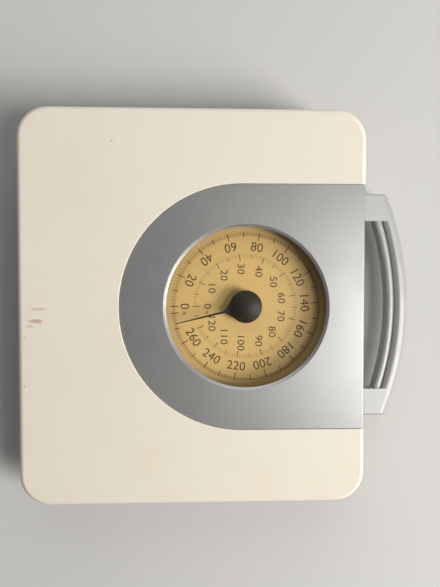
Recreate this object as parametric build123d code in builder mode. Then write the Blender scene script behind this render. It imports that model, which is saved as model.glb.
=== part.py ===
from build123d import *
import math
import os

# A mechanical bathroom scale with a fixed dial and a turning pointer.
# +Z is up, +Y points from the user to the carry handle, +X is to the user's right.
# The origin lies on the floor, under the middle of the outline. Lengths are in
# millimetres and angles in degrees.

# Platform cover
PLATFORM_WIDTH = 330.0
PLATFORM_DEPTH = 289.0
PLATFORM_CORNER_R = 25.0
PLATFORM_EDGE_R = 4.0
PLATFORM_TOP = 56.0
SKIRT_HEIGHT = 27.0
COVER_SHEET = 1.2

# Base pan and feet
BASE_SHEET = 1.2
BASE_GAP = 4.0
BASE_OVERLAP = 3.0
BASE_EDGE_R = 4.0
BEAD_LENGTH = 190.0
BEAD_WIDTH = 12.0
BEAD_DEPTH = 0.8
BEAD_INSETS = (54.5, 84.5, 114.5)
FOOT_HEIGHT = 6.0
FOOT_R = 12.0
FOOT_INSET_X = 23.0
FOOT_INSET_Y = 22.5
FOOT_PLUG_R = 4.0
FOOT_HEAD_R = 6.0
FOOT_HEAD_T = 1.8
FOOT_EDGE_R = 1.2

# Carry handle
HANDLE_REACH = 48.2
HANDLE_HALF = 99.0
HANDLE_CORNER_REACH = 28.5
HANDLE_CORNER_R = 2.0
HANDLE_HEIGHT = 15.0
HANDLE_DROP = 3.5
POST_WIDTH = 24.0
BAR_END_SPREAD = 0.9
INNER_ROLL = 6.4
INNER_RISE = 2.6
GROOVE_WIDTH = 0.6
OUTER_ROLL = 12.2
OUTER_CREST = 7.9
GROOVE_DEPTH = 4.6
RIM_R = 7.0
RIM_UNDER_R = 3.0
HANDLE_SCREW_R = 1.6
HANDLE_SCREW_HEAD_R = 3.5
HANDLE_SCREW_HEAD_T = 2.2
HANDLE_SCREW_BITE = 12.0
HANDLE_SCREW_PITCH = 12.0

# Dial surround, window and lens
DIAL_SETBACK = 100.0
PANEL_R = 103.0
PANEL_BACK = 3.6
PANEL_T = 2.0
PANEL_STEP = 1.5
PANEL_GAP = 0.3
LIP_T = 2.0
LIP_SETBACK = 0.5
LIP_EDGE_R = 1.2
WINDOW_R = 69.0
WINDOW_EDGE_R = 1.1
LENS_LEDGE = 2.0
LENS_T = 2.0
LENS_RISE = 1.2
LENS_GAP = 0.2
WELL_WALL = 1.6
WELL_GAP = 0.4
WELL_CLEARANCE = 2.0
GASKET_T = 0.5
LENS_RING_WALL = 1.6
LENS_RING_HEIGHT = 4.0
POCKET_EDGE_R = 0.7
STUD_R = 2.0
STUD_LENGTH = 2.6
STUD_CIRCLE_R = 88.0
STUD_COUNT = 6
PUSH_NUT_R = 5.5
PUSH_NUT_T = 0.8

# Levers and their bearings
LEVER_INSET = 35.0
REAR_FULCRUM_INSET = 36.5
FRONT_FULCRUM_INSET = 40.5
LOAD_ARM = 16.0
LEVER_SWING = 2.4
LEVER_T = 3.0
LEVER_PIVOT_LIFT = 16.8
LEVER_BELOW = 8.0
LEVER_ABOVE = 4.0
LEVER_TAIL = 7.0
LEVER_STRAIGHT = 6.0
NOSE_INSET = 17.5
NOSE_HALF = 11.5
NOSE_T = 3.0
NOSE_FRONT = 4.0
NOSE_EDGE = 0.8
NOSE_ARM_HEIGHT = 7.5
EYE_TAB_HALF = 4.0
EYE_TAB_T = 2.0
EYE_TAB_HEIGHT = 7.0
EYE_R = 2.0
EYE_LIFT = 3.2
PIN_R = 2.0
LINK_PIN_R = 1.5
LINK_OFFSET = 7.5
LINK_PROUD = 3.0
LINK_PLAY_Y = 0.5
LINK_PLAY_Z = 0.15
PIVOT_CLEARANCE = 0.05
LOAD_CLEARANCE = 0.10
PRESS_GAP = 0.02
SIDE_PLAY = 1.5
EAR_T = 2.0
EAR_WIDTH = 12.0
EAR_CAP = 3.0
PIN_PROUD = 1.0
BRACKET_T = 2.0
BRACKET_FLANGE = 5.0
RIVET_R = 1.5
RIVET_HEAD_R = 2.1
RIVET_HEAD_T = 1.0

# Stiffeners under the platform
STIFFENER_HALF = 105.0
STIFFENER_HEIGHT = 9.0
STIFFENER_COUNT = 2
STIFFENER_FLANGE_SHARE = 0.215
STIFFENER_REAR_GAP = 12.8
STIFFENER_PANEL_GAP = 6.8
STIFFENER_SPACING = 8.0

# Bell crank, rack and pinion
CRANK_BACK = 19.0
CRANK_LIFT = 10.8
CRANK_SWING = 50.0
CRANK_T = 2.0
CRANK_HUB_R = 3.6
CRANK_HUB_T = 3.6
CRANK_PIN_R = 1.5
CRANK_TIP_R = 1.5
CRANK_ARM_HALF = 0.8
CRANK_STUD_R = 1.0
CRANK_STUD_BOSS_R = 2.0
NOSE_GAP = 0.15
CRANK_EAR_T = 2.0
CRANK_EAR_HALF = 4.0
CRANK_EAR_GAP = 0.4
CRANK_FLOOR_T = 1.5
FORK_PLAY = 0.15
FORK_FLOOR_GAP = 0.25
FORK_PRONG = 2.0
FORK_FLOOR = 1.5
FORK_REACH = 1.25
FORK_SIDE_GAP = 0.64
MODULE = 0.4
PINION_TEETH = 10
PRESSURE_ANGLE = 20.0
TOOTH_SHARE = 0.40
PINION_ADDENDUM = 0.36
RACK_ADDENDUM = 0.22
TOOTH_ROOT_GAP = 0.2
DIAL_SWEEP = 340.0
PINION_OVERHANG = 0.6
RACK_T = 1.5
RACK_BODY = 3.8
RACK_END = 2.4
GUIDE_GAP = 0.1
GUIDE_LENGTH = 9.0
GUIDE_BODY = 5.0
GUIDE_LEDGE = 3.0
GUIDE_LEDGE_T = 1.8
GUIDE_TENON_R = 1.5
RETURN_LUG_AHEAD = 25.5
RETURN_TAB_HALF = 2.0
RETURN_TAB_RISE = 1.6
RETURN_EYE_R = 1.0
RETURN_EYE_EDGE = 1.9
RETURN_ANCHOR_BACK = 10.0
RETURN_ANCHOR_WIDTH = 5.5
RETURN_WIRE_R = 0.3
RETURN_COIL_R = 1.8
RETURN_RING_R = 1.9
RETURN_TURNS = 12

# Dial, pointer and the movement that carries them
MOVEMENT_GAP = 1.1
MOVEMENT_T = 1.5
PILLAR_R = 4.0
PILLAR_TENON_R = 2.5
PILLAR_EDGE = 4.0
REAR_PILLAR_X = 40.0
REAR_PILLAR_BACK = 29.5
FRONT_PILLAR_X = 22.0
FRONT_PILLAR_AHEAD = 29.5
PILLAR_SCREW_R = 1.5
PILLAR_SCREW_BITE = 9.0
PILLAR_SCREW_HEAD_R = 3.4
PILLAR_SCREW_HEAD_T = 1.8
DIAL_R = 74.0
DIAL_T = 1.0
DIAL_RIVET_CIRCLE_R = 9.5
DIAL_RIVET_COUNT = 3
SHAFT_R = 1.0
BUSH_BORE_CLEARANCE = 0.03
UPPER_BUSH_R = 2.6
BUSH_FLANGE_R = 4.2
BUSH_FLANGE_T = 1.0
LOWER_BUSH_R = 4.5
LOWER_BUSH_HEIGHT = 5.0
LOWER_BUSH_FLOOR = 1.0
LOWER_BUSH_TENON_R = 2.5
SHAFT_END_GAP = 0.1
POINTER_LIFT = 7.0
POINTER_T = 0.8
POINTER_HUB_R = 13.0
POINTER_FLARE_R = 19.0
POINTER_FLARE_ANGLE = 52.0
POINTER_TIP_R = 61.5
POINTER_ROOT_HALF = 1.0
POINTER_TIP_HALF = 0.35
POINTER_REST = 13.7
POINTER_BOSS_R = 3.2
POINTER_BOSS_GAP = 0.5
POINTER_CAP_R = 13.8
POINTER_CAP_T = 2.8
POINTER_CAP_EDGE_R = 1.6
SHAFT_CAP_DEPTH = 1.4

# Main spring and zero adjustment
SPRING_LEG_SHARE = 0.85
MAIN_WIRE_R = 0.7
MAIN_COIL_R = 4.7
MAIN_RING_R = 3.0
MAIN_TURNS = 5
BACK_PLATE_T = 2.0
BACK_PLATE_LEFT = 15.0
BACK_PLATE_RIGHT = 47.0
BACK_PLATE_TOP = 46.0
BACK_PLATE_LIFT = 0.2
HANGER_GAP = 1.0
HANGER_T = 2.0
HANGER_HEADROOM = 0.6
HANGER_LEFT = 6.0
HANGER_RIGHT = 17.0
HANGER_TONGUE_BACK = 5.5
ZERO_PITCH = 0.7
ZERO_TURNS = 2.0
ZERO_X = 27.0
ZERO_SCREW_R = 2.0
ZERO_SCREW_BACK = 8.1
ZERO_WHEEL_R = 12.0
ZERO_WHEEL_T = 6.0
ZERO_WHEEL_LIFT = 9.8
ZERO_WHEEL_GAP = 1.0
ZERO_NOTCHES = 30
ZERO_NOTCH_R = 0.7
ZERO_LUG_HALF = 7.0
ZERO_LUG_T = 2.0
ZERO_COLLAR_R = 3.5
ZERO_COLLAR_T = 1.8
ZERO_END_GAP = 0.1
ZERO_SCREW_TAIL = 0.6
NUT_HALF = 6.0
NUT_HEIGHT = 6.0
NUT_LIFT = 6.0
NUT_HEADROOM = 1.6
GUIDE_RIVET_X = 12.0
GUIDE_RIVET_R = 1.5
GUIDE_RIVET_HEAD_R = 3.0
GUIDE_RIVET_HEAD_T = 1.6
GUIDE_RIVET_SHOULDER_R = 2.5
GUIDE_RIVET_LOW = 4.0
GUIDE_RIVET_HIGH = 14.0
GUIDE_RIVET_PLAY = 0.1

# Places that follow from the sizes above
PLATFORM_Y = -HANDLE_REACH / 2
BAR_WIDTH = INNER_ROLL + GROOVE_WIDTH + OUTER_ROLL
OPENING_HALF = HANDLE_HALF - POST_WIDTH
FRONT_Y = PLATFORM_Y + PLATFORM_DEPTH / 2
REAR_Y = PLATFORM_Y - PLATFORM_DEPTH / 2
SKIRT_BOTTOM = PLATFORM_TOP - SKIRT_HEIGHT
COVER_UNDER = PLATFORM_TOP - COVER_SHEET
BASE_WIDTH = PLATFORM_WIDTH - 2 * (COVER_SHEET + BASE_GAP)
BASE_DEPTH = PLATFORM_DEPTH - 2 * (COVER_SHEET + BASE_GAP)
BASE_CORNER_R = PLATFORM_CORNER_R - COVER_SHEET - BASE_GAP
BASE_TOP = SKIRT_BOTTOM + BASE_OVERLAP
BASE_HEIGHT = BASE_TOP - FOOT_HEIGHT
BASE_FRONT = PLATFORM_Y + BASE_DEPTH / 2
WALL_IN = BASE_FRONT - BASE_SHEET
FLOOR = FOOT_HEIGHT + BASE_SHEET
FOOT_X = PLATFORM_WIDTH / 2 - FOOT_INSET_X
FOOT_Y = PLATFORM_DEPTH / 2 - FOOT_INSET_Y

PANEL_TOP = PLATFORM_TOP - PANEL_STEP
POCKET_FLOOR = PANEL_TOP - PANEL_T
POCKET_UNDER = POCKET_FLOOR - COVER_SHEET
DIAL_Y = FRONT_Y - DIAL_SETBACK
PANEL_Y = DIAL_Y - PANEL_BACK
LIP_FRONT = FRONT_Y - LIP_SETBACK
LIP_BACK = LIP_FRONT - LIP_T
LENS_R = WINDOW_R + LENS_LEDGE - LENS_GAP
WELL_R = WINDOW_R + LENS_LEDGE
WELL_OUT_R = WELL_R + WELL_WALL
LENS_UNDER = POCKET_FLOOR - LENS_T
GASKET_UNDER = LENS_UNDER - GASKET_T
LENS_RING_UNDER = GASKET_UNDER - LENS_RING_HEIGHT

LEVER_X = PLATFORM_WIDTH / 2 - LEVER_INSET
PIVOT_Z = FLOOR + LEVER_PIVOT_LIFT
REAR_FULCRUM_Y = REAR_Y + REAR_FULCRUM_INSET
FRONT_FULCRUM_Y = FRONT_Y - FRONT_FULCRUM_INSET
REAR_LOAD_Y = REAR_FULCRUM_Y + LOAD_ARM
FRONT_LOAD_Y = FRONT_FULCRUM_Y - LOAD_ARM
LINK_Y = (REAR_FULCRUM_Y + FRONT_FULCRUM_Y) / 2
NOSE_Y = FRONT_Y - NOSE_INSET
BEND_REAR_Y = REAR_LOAD_Y + LEVER_STRAIGHT
BEND_FRONT_Y = FRONT_LOAD_Y - LEVER_STRAIGHT
NOSE_ARM_X = NOSE_HALF - LEVER_T / 2
EAR_IN = LEVER_T / 2 + SIDE_PLAY
EAR_OUT = EAR_IN + EAR_T
PIN_HALF = EAR_OUT + PIN_PROUD
SWING_SINE = math.sin(math.radians(LEVER_SWING))
PLATFORM_TRAVEL = LOAD_ARM * SWING_SINE

CRANK_Y = NOSE_Y - CRANK_BACK
CRANK_Z = FLOOR + CRANK_LIFT
CRANK_HALF_SWING = math.radians(CRANK_SWING / 2)
CRANK_SHARE = SWING_SINE / (2 * math.sin(CRANK_HALF_SWING))
CONTACT_ARM = (CRANK_Y - REAR_FULCRUM_Y) * CRANK_SHARE / (1 - CRANK_SHARE)
TIP_Y = CRANK_Y + CONTACT_ARM * math.cos(CRANK_HALF_SWING)
TIP_Z = CRANK_Z + CONTACT_ARM * math.sin(CRANK_HALF_SWING)
NOSE_TOP = TIP_Z - CRANK_TIP_R - NOSE_GAP
NOSE_UNDER = NOSE_TOP - NOSE_T

PITCH_R = MODULE * PINION_TEETH / 2
TOOTH_PITCH = math.pi * MODULE
RACK_TRAVEL = PITCH_R * math.radians(DIAL_SWEEP)
STUD_ARM = RACK_TRAVEL / (2 * math.sin(CRANK_HALF_SWING))
STUD_Y = CRANK_Y - STUD_ARM * math.sin(CRANK_HALF_SWING)
STUD_Z = CRANK_Z + STUD_ARM * math.cos(CRANK_HALF_SWING)
RACK_UNDER = STUD_Z - CRANK_STUD_R - FORK_FLOOR_GAP
RACK_TOP = RACK_UNDER + RACK_T
RACK_MID = RACK_UNDER + RACK_T / 2
FORK_TOP = CRANK_Z + STUD_ARM + FORK_REACH
RACK_ROOT_X = -(PITCH_R + PINION_ADDENDUM + TOOTH_ROOT_GAP)
RACK_BACK_X = RACK_ROOT_X - RACK_BODY
CRANK_X = RACK_BACK_X - FORK_SIDE_GAP - CRANK_T / 2

MOVEMENT_UNDER = FORK_TOP + MOVEMENT_GAP
MOVEMENT_TOP = MOVEMENT_UNDER + MOVEMENT_T
DIAL_TOP = MOVEMENT_TOP + DIAL_T
WELL_BOTTOM = DIAL_TOP + WELL_CLEARANCE
POINTER_UNDER = DIAL_TOP + POINTER_LIFT
POINTER_TOP = POINTER_UNDER + POINTER_T
SHAFT_BOTTOM = FLOOR + LOWER_BUSH_FLOOR + SHAFT_END_GAP
SHAFT_TOP = POINTER_TOP + SHAFT_CAP_DEPTH
PILLAR_PLACES = [
    (-REAR_PILLAR_X, DIAL_Y - REAR_PILLAR_BACK),
    (REAR_PILLAR_X, DIAL_Y - REAR_PILLAR_BACK),
    (-FRONT_PILLAR_X, DIAL_Y + FRONT_PILLAR_AHEAD),
    (FRONT_PILLAR_X, DIAL_Y + FRONT_PILLAR_AHEAD),
]

ZERO_TRAVEL = ZERO_PITCH * ZERO_TURNS
PLATE_BACK = WALL_IN - BACK_PLATE_T
HANGER_FACE = PLATE_BACK - HANGER_GAP
HANGER_BACK = HANGER_FACE - HANGER_T
HANGER_TOP = POCKET_UNDER - PLATFORM_TRAVEL - ZERO_TRAVEL - HANGER_HEADROOM
HANGER_UNDER = HANGER_TOP - HANGER_T
ZERO_Y = WALL_IN - ZERO_SCREW_BACK
BACK_PLATE_UNDER = FLOOR + BASE_EDGE_R - BASE_SHEET + BACK_PLATE_LIFT
ZERO_LOW_LUG = BACK_PLATE_UNDER
ZERO_WHEEL_UNDER = FLOOR + ZERO_WHEEL_LIFT
ZERO_WHEEL_TOP = ZERO_WHEEL_UNDER + ZERO_WHEEL_T
NUT_UNDER = ZERO_WHEEL_TOP + NUT_LIFT
NUT_TOP = NUT_UNDER + NUT_HEIGHT
ZERO_HIGH_LUG = NUT_TOP + ZERO_TRAVEL + NUT_HEADROOM
NOSE_EYE_Z = NOSE_TOP + EYE_LIFT
HANGER_EYE_Z = HANGER_UNDER - EYE_LIFT / 2
MAIN_LOW = NOSE_EYE_Z
MAIN_HIGH = HANGER_EYE_Z


def block(x_range, y_range, z_range, mode=Mode.ADD):
    """Adds a box between two corners to the part being built."""
    middle = [(low + high) / 2 for low, high in (x_range, y_range, z_range)]
    size = [high - low for low, high in (x_range, y_range, z_range)]
    with Locations(tuple(middle)):
        Box(*size, mode=mode)


def rod_z(x, y, radius, z_range, mode=Mode.ADD):
    """Adds an upright round rod to the part being built."""
    with Locations((x, y, (z_range[0] + z_range[1]) / 2)):
        Cylinder(radius, z_range[1] - z_range[0], mode=mode)


def rod_x(y, z, radius, x_range, mode=Mode.ADD):
    """Adds a round rod that lies along X to the part being built."""
    with Locations(((x_range[0] + x_range[1]) / 2, y, z)):
        Cylinder(radius, x_range[1] - x_range[0], rotation=(0, 90, 0), mode=mode)


def rod_y(x, z, radius, y_range, mode=Mode.ADD):
    """Adds a round rod that lies along Y to the part being built."""
    with Locations((x, (y_range[0] + y_range[1]) / 2, z)):
        Cylinder(radius, y_range[1] - y_range[0], rotation=(90, 0, 0), mode=mode)


def pin_hole(pin_y, lever_x):
    """Bores a lever pin's hole through the sheet that stands at lever_x."""
    span = (lever_x - LEVER_T, lever_x + LEVER_T)
    rod_x(pin_y, PIVOT_Z, PIN_R + PRESS_GAP, span, mode=Mode.SUBTRACT)


def write(piece, label):
    """Names a finished piece and writes it to its own file."""
    piece.part.label = label
    export_step(piece.part, f"parts/{label}.step")


def arm_plane(start, end):
    """The upright plane along an arm, with its own x along the arm and y up."""
    run = Vector(end[0] - start[0], end[1] - start[1], 0)
    return Plane(origin=(start[0], start[1], 0), x_dir=run, z_dir=(run.Y, -run.X, 0))


def long_arm_x(y):
    """The middle of the right long arm at a place along Y."""
    share = (y - BEND_REAR_Y) / (NOSE_Y - BEND_REAR_Y)
    return LEVER_X + share * (NOSE_ARM_X - LEVER_X)


LINK_ARM_X = long_arm_x(LINK_Y)
LINK_END_X = LINK_ARM_X + LINK_OFFSET

os.makedirs("parts", exist_ok=True)

# Outline of the dial surround, used for its plate and for the pocket it lies in


def panel_outline(radius, front):
    """The D-shaped outline: half a disc behind the dial, straight to the front."""
    with BuildSketch() as outline:
        with Locations((0, PANEL_Y)):
            Circle(radius)
        with Locations((0, (PANEL_Y + front) / 2)):
            Rectangle(2 * radius, front - PANEL_Y)
        with Locations((0, (PANEL_Y - radius + front) / 2)):
            Rectangle(2 * radius, front - PANEL_Y + radius, mode=Mode.INTERSECT)
    return outline.sketch


STUD_PLACES = [
    (
        STUD_CIRCLE_R * math.cos(math.radians(360 * turn / STUD_COUNT)),
        DIAL_Y + STUD_CIRCLE_R * math.sin(math.radians(360 * turn / STUD_COUNT)),
    )
    for turn in range(STUD_COUNT)
]

# Platform cover: one pressed sheet with a pocket for the dial surround

with BuildPart() as cover_cavity:
    with BuildSketch(Plane.XY.offset(SKIRT_BOTTOM)):
        with Locations((0, PLATFORM_Y)):
            RectangleRounded(
                PLATFORM_WIDTH - 2 * COVER_SHEET,
                PLATFORM_DEPTH - 2 * COVER_SHEET,
                PLATFORM_CORNER_R - COVER_SHEET,
            )
    extrude(amount=SKIRT_HEIGHT - COVER_SHEET)
    fillet(cover_cavity.faces().sort_by(Axis.Z)[-1].edges(), PLATFORM_EDGE_R - COVER_SHEET)
    with BuildSketch(Plane.XY.offset(POCKET_UNDER)):
        add(panel_outline(PANEL_R + COVER_SHEET, FRONT_Y))
    extrude(amount=PLATFORM_TOP - POCKET_UNDER, mode=Mode.SUBTRACT)
    block(
        (-PANEL_R - COVER_SHEET, PANEL_R + COVER_SHEET),
        (LIP_BACK - COVER_SHEET, FRONT_Y),
        (SKIRT_BOTTOM, PLATFORM_TOP),
        mode=Mode.SUBTRACT,
    )

with BuildPart() as platform_cover:
    with BuildSketch(Plane.XY.offset(SKIRT_BOTTOM)):
        with Locations((0, PLATFORM_Y)):
            RectangleRounded(PLATFORM_WIDTH, PLATFORM_DEPTH, PLATFORM_CORNER_R)
    extrude(amount=SKIRT_HEIGHT)
    fillet(platform_cover.faces().sort_by(Axis.Z)[-1].edges(), PLATFORM_EDGE_R)
    with BuildSketch(Plane.XY.offset(POCKET_FLOOR)):
        add(panel_outline(PANEL_R, FRONT_Y))
    extrude(amount=PLATFORM_TOP - POCKET_FLOOR, mode=Mode.SUBTRACT)
    block((-PANEL_R, PANEL_R), (LIP_BACK, FRONT_Y), (SKIRT_BOTTOM, PLATFORM_TOP), mode=Mode.SUBTRACT)
    add(cover_cavity.part, mode=Mode.SUBTRACT)
    rod_z(0, DIAL_Y, WELL_OUT_R + WELL_GAP, (POCKET_UNDER, POCKET_FLOOR), mode=Mode.SUBTRACT)
    for x, y in STUD_PLACES:
        rod_z(x, y, STUD_R + PRESS_GAP, (POCKET_UNDER, POCKET_FLOOR), mode=Mode.SUBTRACT)
    top_rounds = platform_cover.edges().filter_by(GeomType.CIRCLE).group_by(Axis.Z)[-1]
    fillet(top_rounds.sort_by(SortBy.RADIUS)[-1], POCKET_EDGE_R)
write(platform_cover, "platform_cover")

# Dial surround: silver panel with a front lip, the window and its well

with BuildPart() as dial_surround:
    with BuildSketch(Plane.XY.offset(POCKET_FLOOR)):
        add(panel_outline(PANEL_R - PANEL_GAP, LIP_FRONT))
    extrude(amount=PANEL_T)
    block(
        (-PANEL_R + PANEL_GAP, PANEL_R - PANEL_GAP),
        (LIP_BACK, LIP_FRONT),
        (SKIRT_BOTTOM, PANEL_TOP),
    )
    rod_z(0, DIAL_Y, WELL_OUT_R, (WELL_BOTTOM, PANEL_TOP))
    rod_z(0, DIAL_Y, WELL_R, (WELL_BOTTOM, POCKET_FLOOR), mode=Mode.SUBTRACT)
    rod_z(0, DIAL_Y, WINDOW_R, (POCKET_FLOOR, PANEL_TOP), mode=Mode.SUBTRACT)
    for x, y in STUD_PLACES:
        rod_z(x, y, STUD_R, (POCKET_UNDER - STUD_LENGTH, POCKET_FLOOR))
    top_rounds = dial_surround.edges().filter_by(GeomType.CIRCLE).group_by(Axis.Z)[-1]
    fillet(top_rounds.sort_by(SortBy.RADIUS)[0], WINDOW_EDGE_R)
    lip_edge = dial_surround.edges().filter_by(Axis.X).group_by(Axis.Z)[-1].sort_by(Axis.Y)[-1]
    fillet(lip_edge, LIP_EDGE_R)
write(dial_surround, "dial_surround")

# Lens: clear disc with a low dome, held against the window's ledge from below

with BuildPart() as lens:
    with BuildSketch(Plane.XZ.offset(-DIAL_Y)):
        with BuildLine():
            Line((0, LENS_UNDER + LENS_RISE), (0, POCKET_FLOOR + LENS_RISE))
            RadiusArc(
                (0, POCKET_FLOOR + LENS_RISE),
                (WINDOW_R - LENS_GAP, POCKET_FLOOR),
                ((WINDOW_R - LENS_GAP) ** 2 + LENS_RISE**2) / (2 * LENS_RISE),
            )
            Polyline(
                (WINDOW_R - LENS_GAP, POCKET_FLOOR),
                (LENS_R, POCKET_FLOOR),
                (LENS_R, LENS_UNDER),
                (WINDOW_R - LENS_GAP, LENS_UNDER),
            )
            RadiusArc(
                (0, LENS_UNDER + LENS_RISE),
                (WINDOW_R - LENS_GAP, LENS_UNDER),
                ((WINDOW_R - LENS_GAP) ** 2 + LENS_RISE**2) / (2 * LENS_RISE),
            )
        make_face()
    revolve(axis=Axis((0, DIAL_Y, 0), (0, 0, 1)))
write(lens, "lens")

with BuildPart() as lens_gasket:
    rod_z(0, DIAL_Y, LENS_R, (GASKET_UNDER, LENS_UNDER))
    rod_z(0, DIAL_Y, WELL_R - LENS_RING_WALL, (GASKET_UNDER, LENS_UNDER), mode=Mode.SUBTRACT)
write(lens_gasket, "lens_gasket")

with BuildPart() as lens_ring:
    rod_z(0, DIAL_Y, WELL_R - PRESS_GAP, (LENS_RING_UNDER, GASKET_UNDER))
    rod_z(0, DIAL_Y, WELL_R - LENS_RING_WALL, (LENS_RING_UNDER, GASKET_UNDER), mode=Mode.SUBTRACT)
write(lens_ring, "lens_ring")

with BuildPart() as push_nuts:
    for x, y in STUD_PLACES:
        rod_z(x, y, PUSH_NUT_R, (POCKET_UNDER - PUSH_NUT_T, POCKET_UNDER))
        rod_z(x, y, STUD_R + PRESS_GAP, (POCKET_UNDER - PUSH_NUT_T, POCKET_UNDER), mode=Mode.SUBTRACT)
write(push_nuts, "push_nuts")

# Hat-shaped stiffeners welded across the platform, sharing the room behind the dial panel

STIFFENER_BACK = REAR_Y + COVER_SHEET + STIFFENER_REAR_GAP
STIFFENER_FRONT = PANEL_Y - PANEL_R - COVER_SHEET - STIFFENER_PANEL_GAP
STIFFENER_PITCH = (STIFFENER_FRONT - STIFFENER_BACK + STIFFENER_SPACING) / STIFFENER_COUNT
STIFFENER_WIDTH = STIFFENER_PITCH - STIFFENER_SPACING
STIFFENER_FLANGE = STIFFENER_WIDTH * STIFFENER_FLANGE_SHARE
for number in range(1, STIFFENER_COUNT + 1):
    with BuildPart() as stiffener:
        hat_half = STIFFENER_WIDTH / 2 - STIFFENER_FLANGE
        hat_y = STIFFENER_BACK + STIFFENER_PITCH * (number - 1) + STIFFENER_WIDTH / 2
        hat_under = COVER_UNDER - STIFFENER_HEIGHT
        block(
            (-STIFFENER_HALF, STIFFENER_HALF),
            (hat_y - STIFFENER_WIDTH / 2, hat_y + STIFFENER_WIDTH / 2),
            (COVER_UNDER - COVER_SHEET, COVER_UNDER),
        )
        block(
            (-STIFFENER_HALF, STIFFENER_HALF),
            (hat_y - hat_half, hat_y + hat_half),
            (hat_under, COVER_UNDER),
        )
        block(
            (-STIFFENER_HALF, STIFFENER_HALF),
            (hat_y - hat_half + COVER_SHEET, hat_y + hat_half - COVER_SHEET),
            (hat_under + COVER_SHEET, COVER_UNDER),
            mode=Mode.SUBTRACT,
        )
    write(stiffener, f"platform_stiffener_{number}")

# Corner places, from rear left to front right

CORNERS = {
    "rear_left": (-LEVER_X, REAR_FULCRUM_Y, REAR_LOAD_Y),
    "rear_right": (LEVER_X, REAR_FULCRUM_Y, REAR_LOAD_Y),
    "front_left": (-LEVER_X, FRONT_FULCRUM_Y, FRONT_LOAD_Y),
    "front_right": (LEVER_X, FRONT_FULCRUM_Y, FRONT_LOAD_Y),
}
FLANGE_HALF = EAR_OUT + BRACKET_FLANGE
RIVET_OFFSET = EAR_OUT + BRACKET_FLANGE / 2
POST_RIVET_PLACES = [
    (x + side * RIVET_OFFSET, fulcrum_y) for x, fulcrum_y, load_y in CORNERS.values() for side in (-1, 1)
]

for corner, (corner_x, fulcrum_y, load_y) in CORNERS.items():
    with BuildPart() as fulcrum_post:
        block(
            (corner_x - FLANGE_HALF, corner_x + FLANGE_HALF),
            (fulcrum_y - EAR_WIDTH / 2, fulcrum_y + EAR_WIDTH / 2),
            (FLOOR, FLOOR + BRACKET_T),
        )
        for side in (-1, 1):
            ear = sorted((corner_x + side * EAR_IN, corner_x + side * EAR_OUT))
            block(
                ear,
                (fulcrum_y - EAR_WIDTH / 2, fulcrum_y + EAR_WIDTH / 2),
                (FLOOR, PIVOT_Z + PIN_R + EAR_CAP),
            )
            rod_z(
                corner_x + side * RIVET_OFFSET,
                fulcrum_y,
                RIVET_R + PRESS_GAP,
                (FLOOR, FLOOR + BRACKET_T),
                mode=Mode.SUBTRACT,
            )
        rod_x(
            fulcrum_y,
            PIVOT_Z,
            PIN_R + PIVOT_CLEARANCE,
            (corner_x - EAR_OUT, corner_x + EAR_OUT),
            mode=Mode.SUBTRACT,
        )
    write(fulcrum_post, f"fulcrum_post_{corner}")

    with BuildPart() as platform_bearing:
        block(
            (corner_x - FLANGE_HALF, corner_x + FLANGE_HALF),
            (load_y - EAR_WIDTH / 2, load_y + EAR_WIDTH / 2),
            (COVER_UNDER - BRACKET_T, COVER_UNDER),
        )
        for side in (-1, 1):
            ear = sorted((corner_x + side * EAR_IN, corner_x + side * EAR_OUT))
            block(
                ear,
                (load_y - EAR_WIDTH / 2, load_y + EAR_WIDTH / 2),
                (PIVOT_Z - PIN_R - EAR_CAP, COVER_UNDER),
            )
        rod_x(
            load_y,
            PIVOT_Z,
            PIN_R + LOAD_CLEARANCE,
            (corner_x - EAR_OUT, corner_x + EAR_OUT),
            mode=Mode.SUBTRACT,
        )
    write(platform_bearing, f"platform_bearing_{corner}")

# Long lever: a V of two arms from the rear corners to a nose at the front

ARM_LOW = PIVOT_Z - LEVER_BELOW
ARM_HIGH = PIVOT_Z + LEVER_ABOVE
NOSE_ARM_LOW = NOSE_UNDER
NOSE_ARM_HIGH = NOSE_UNDER + NOSE_ARM_HEIGHT
LONG_RUN = math.hypot(LEVER_X - NOSE_ARM_X, NOSE_Y - BEND_REAR_Y)

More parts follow.
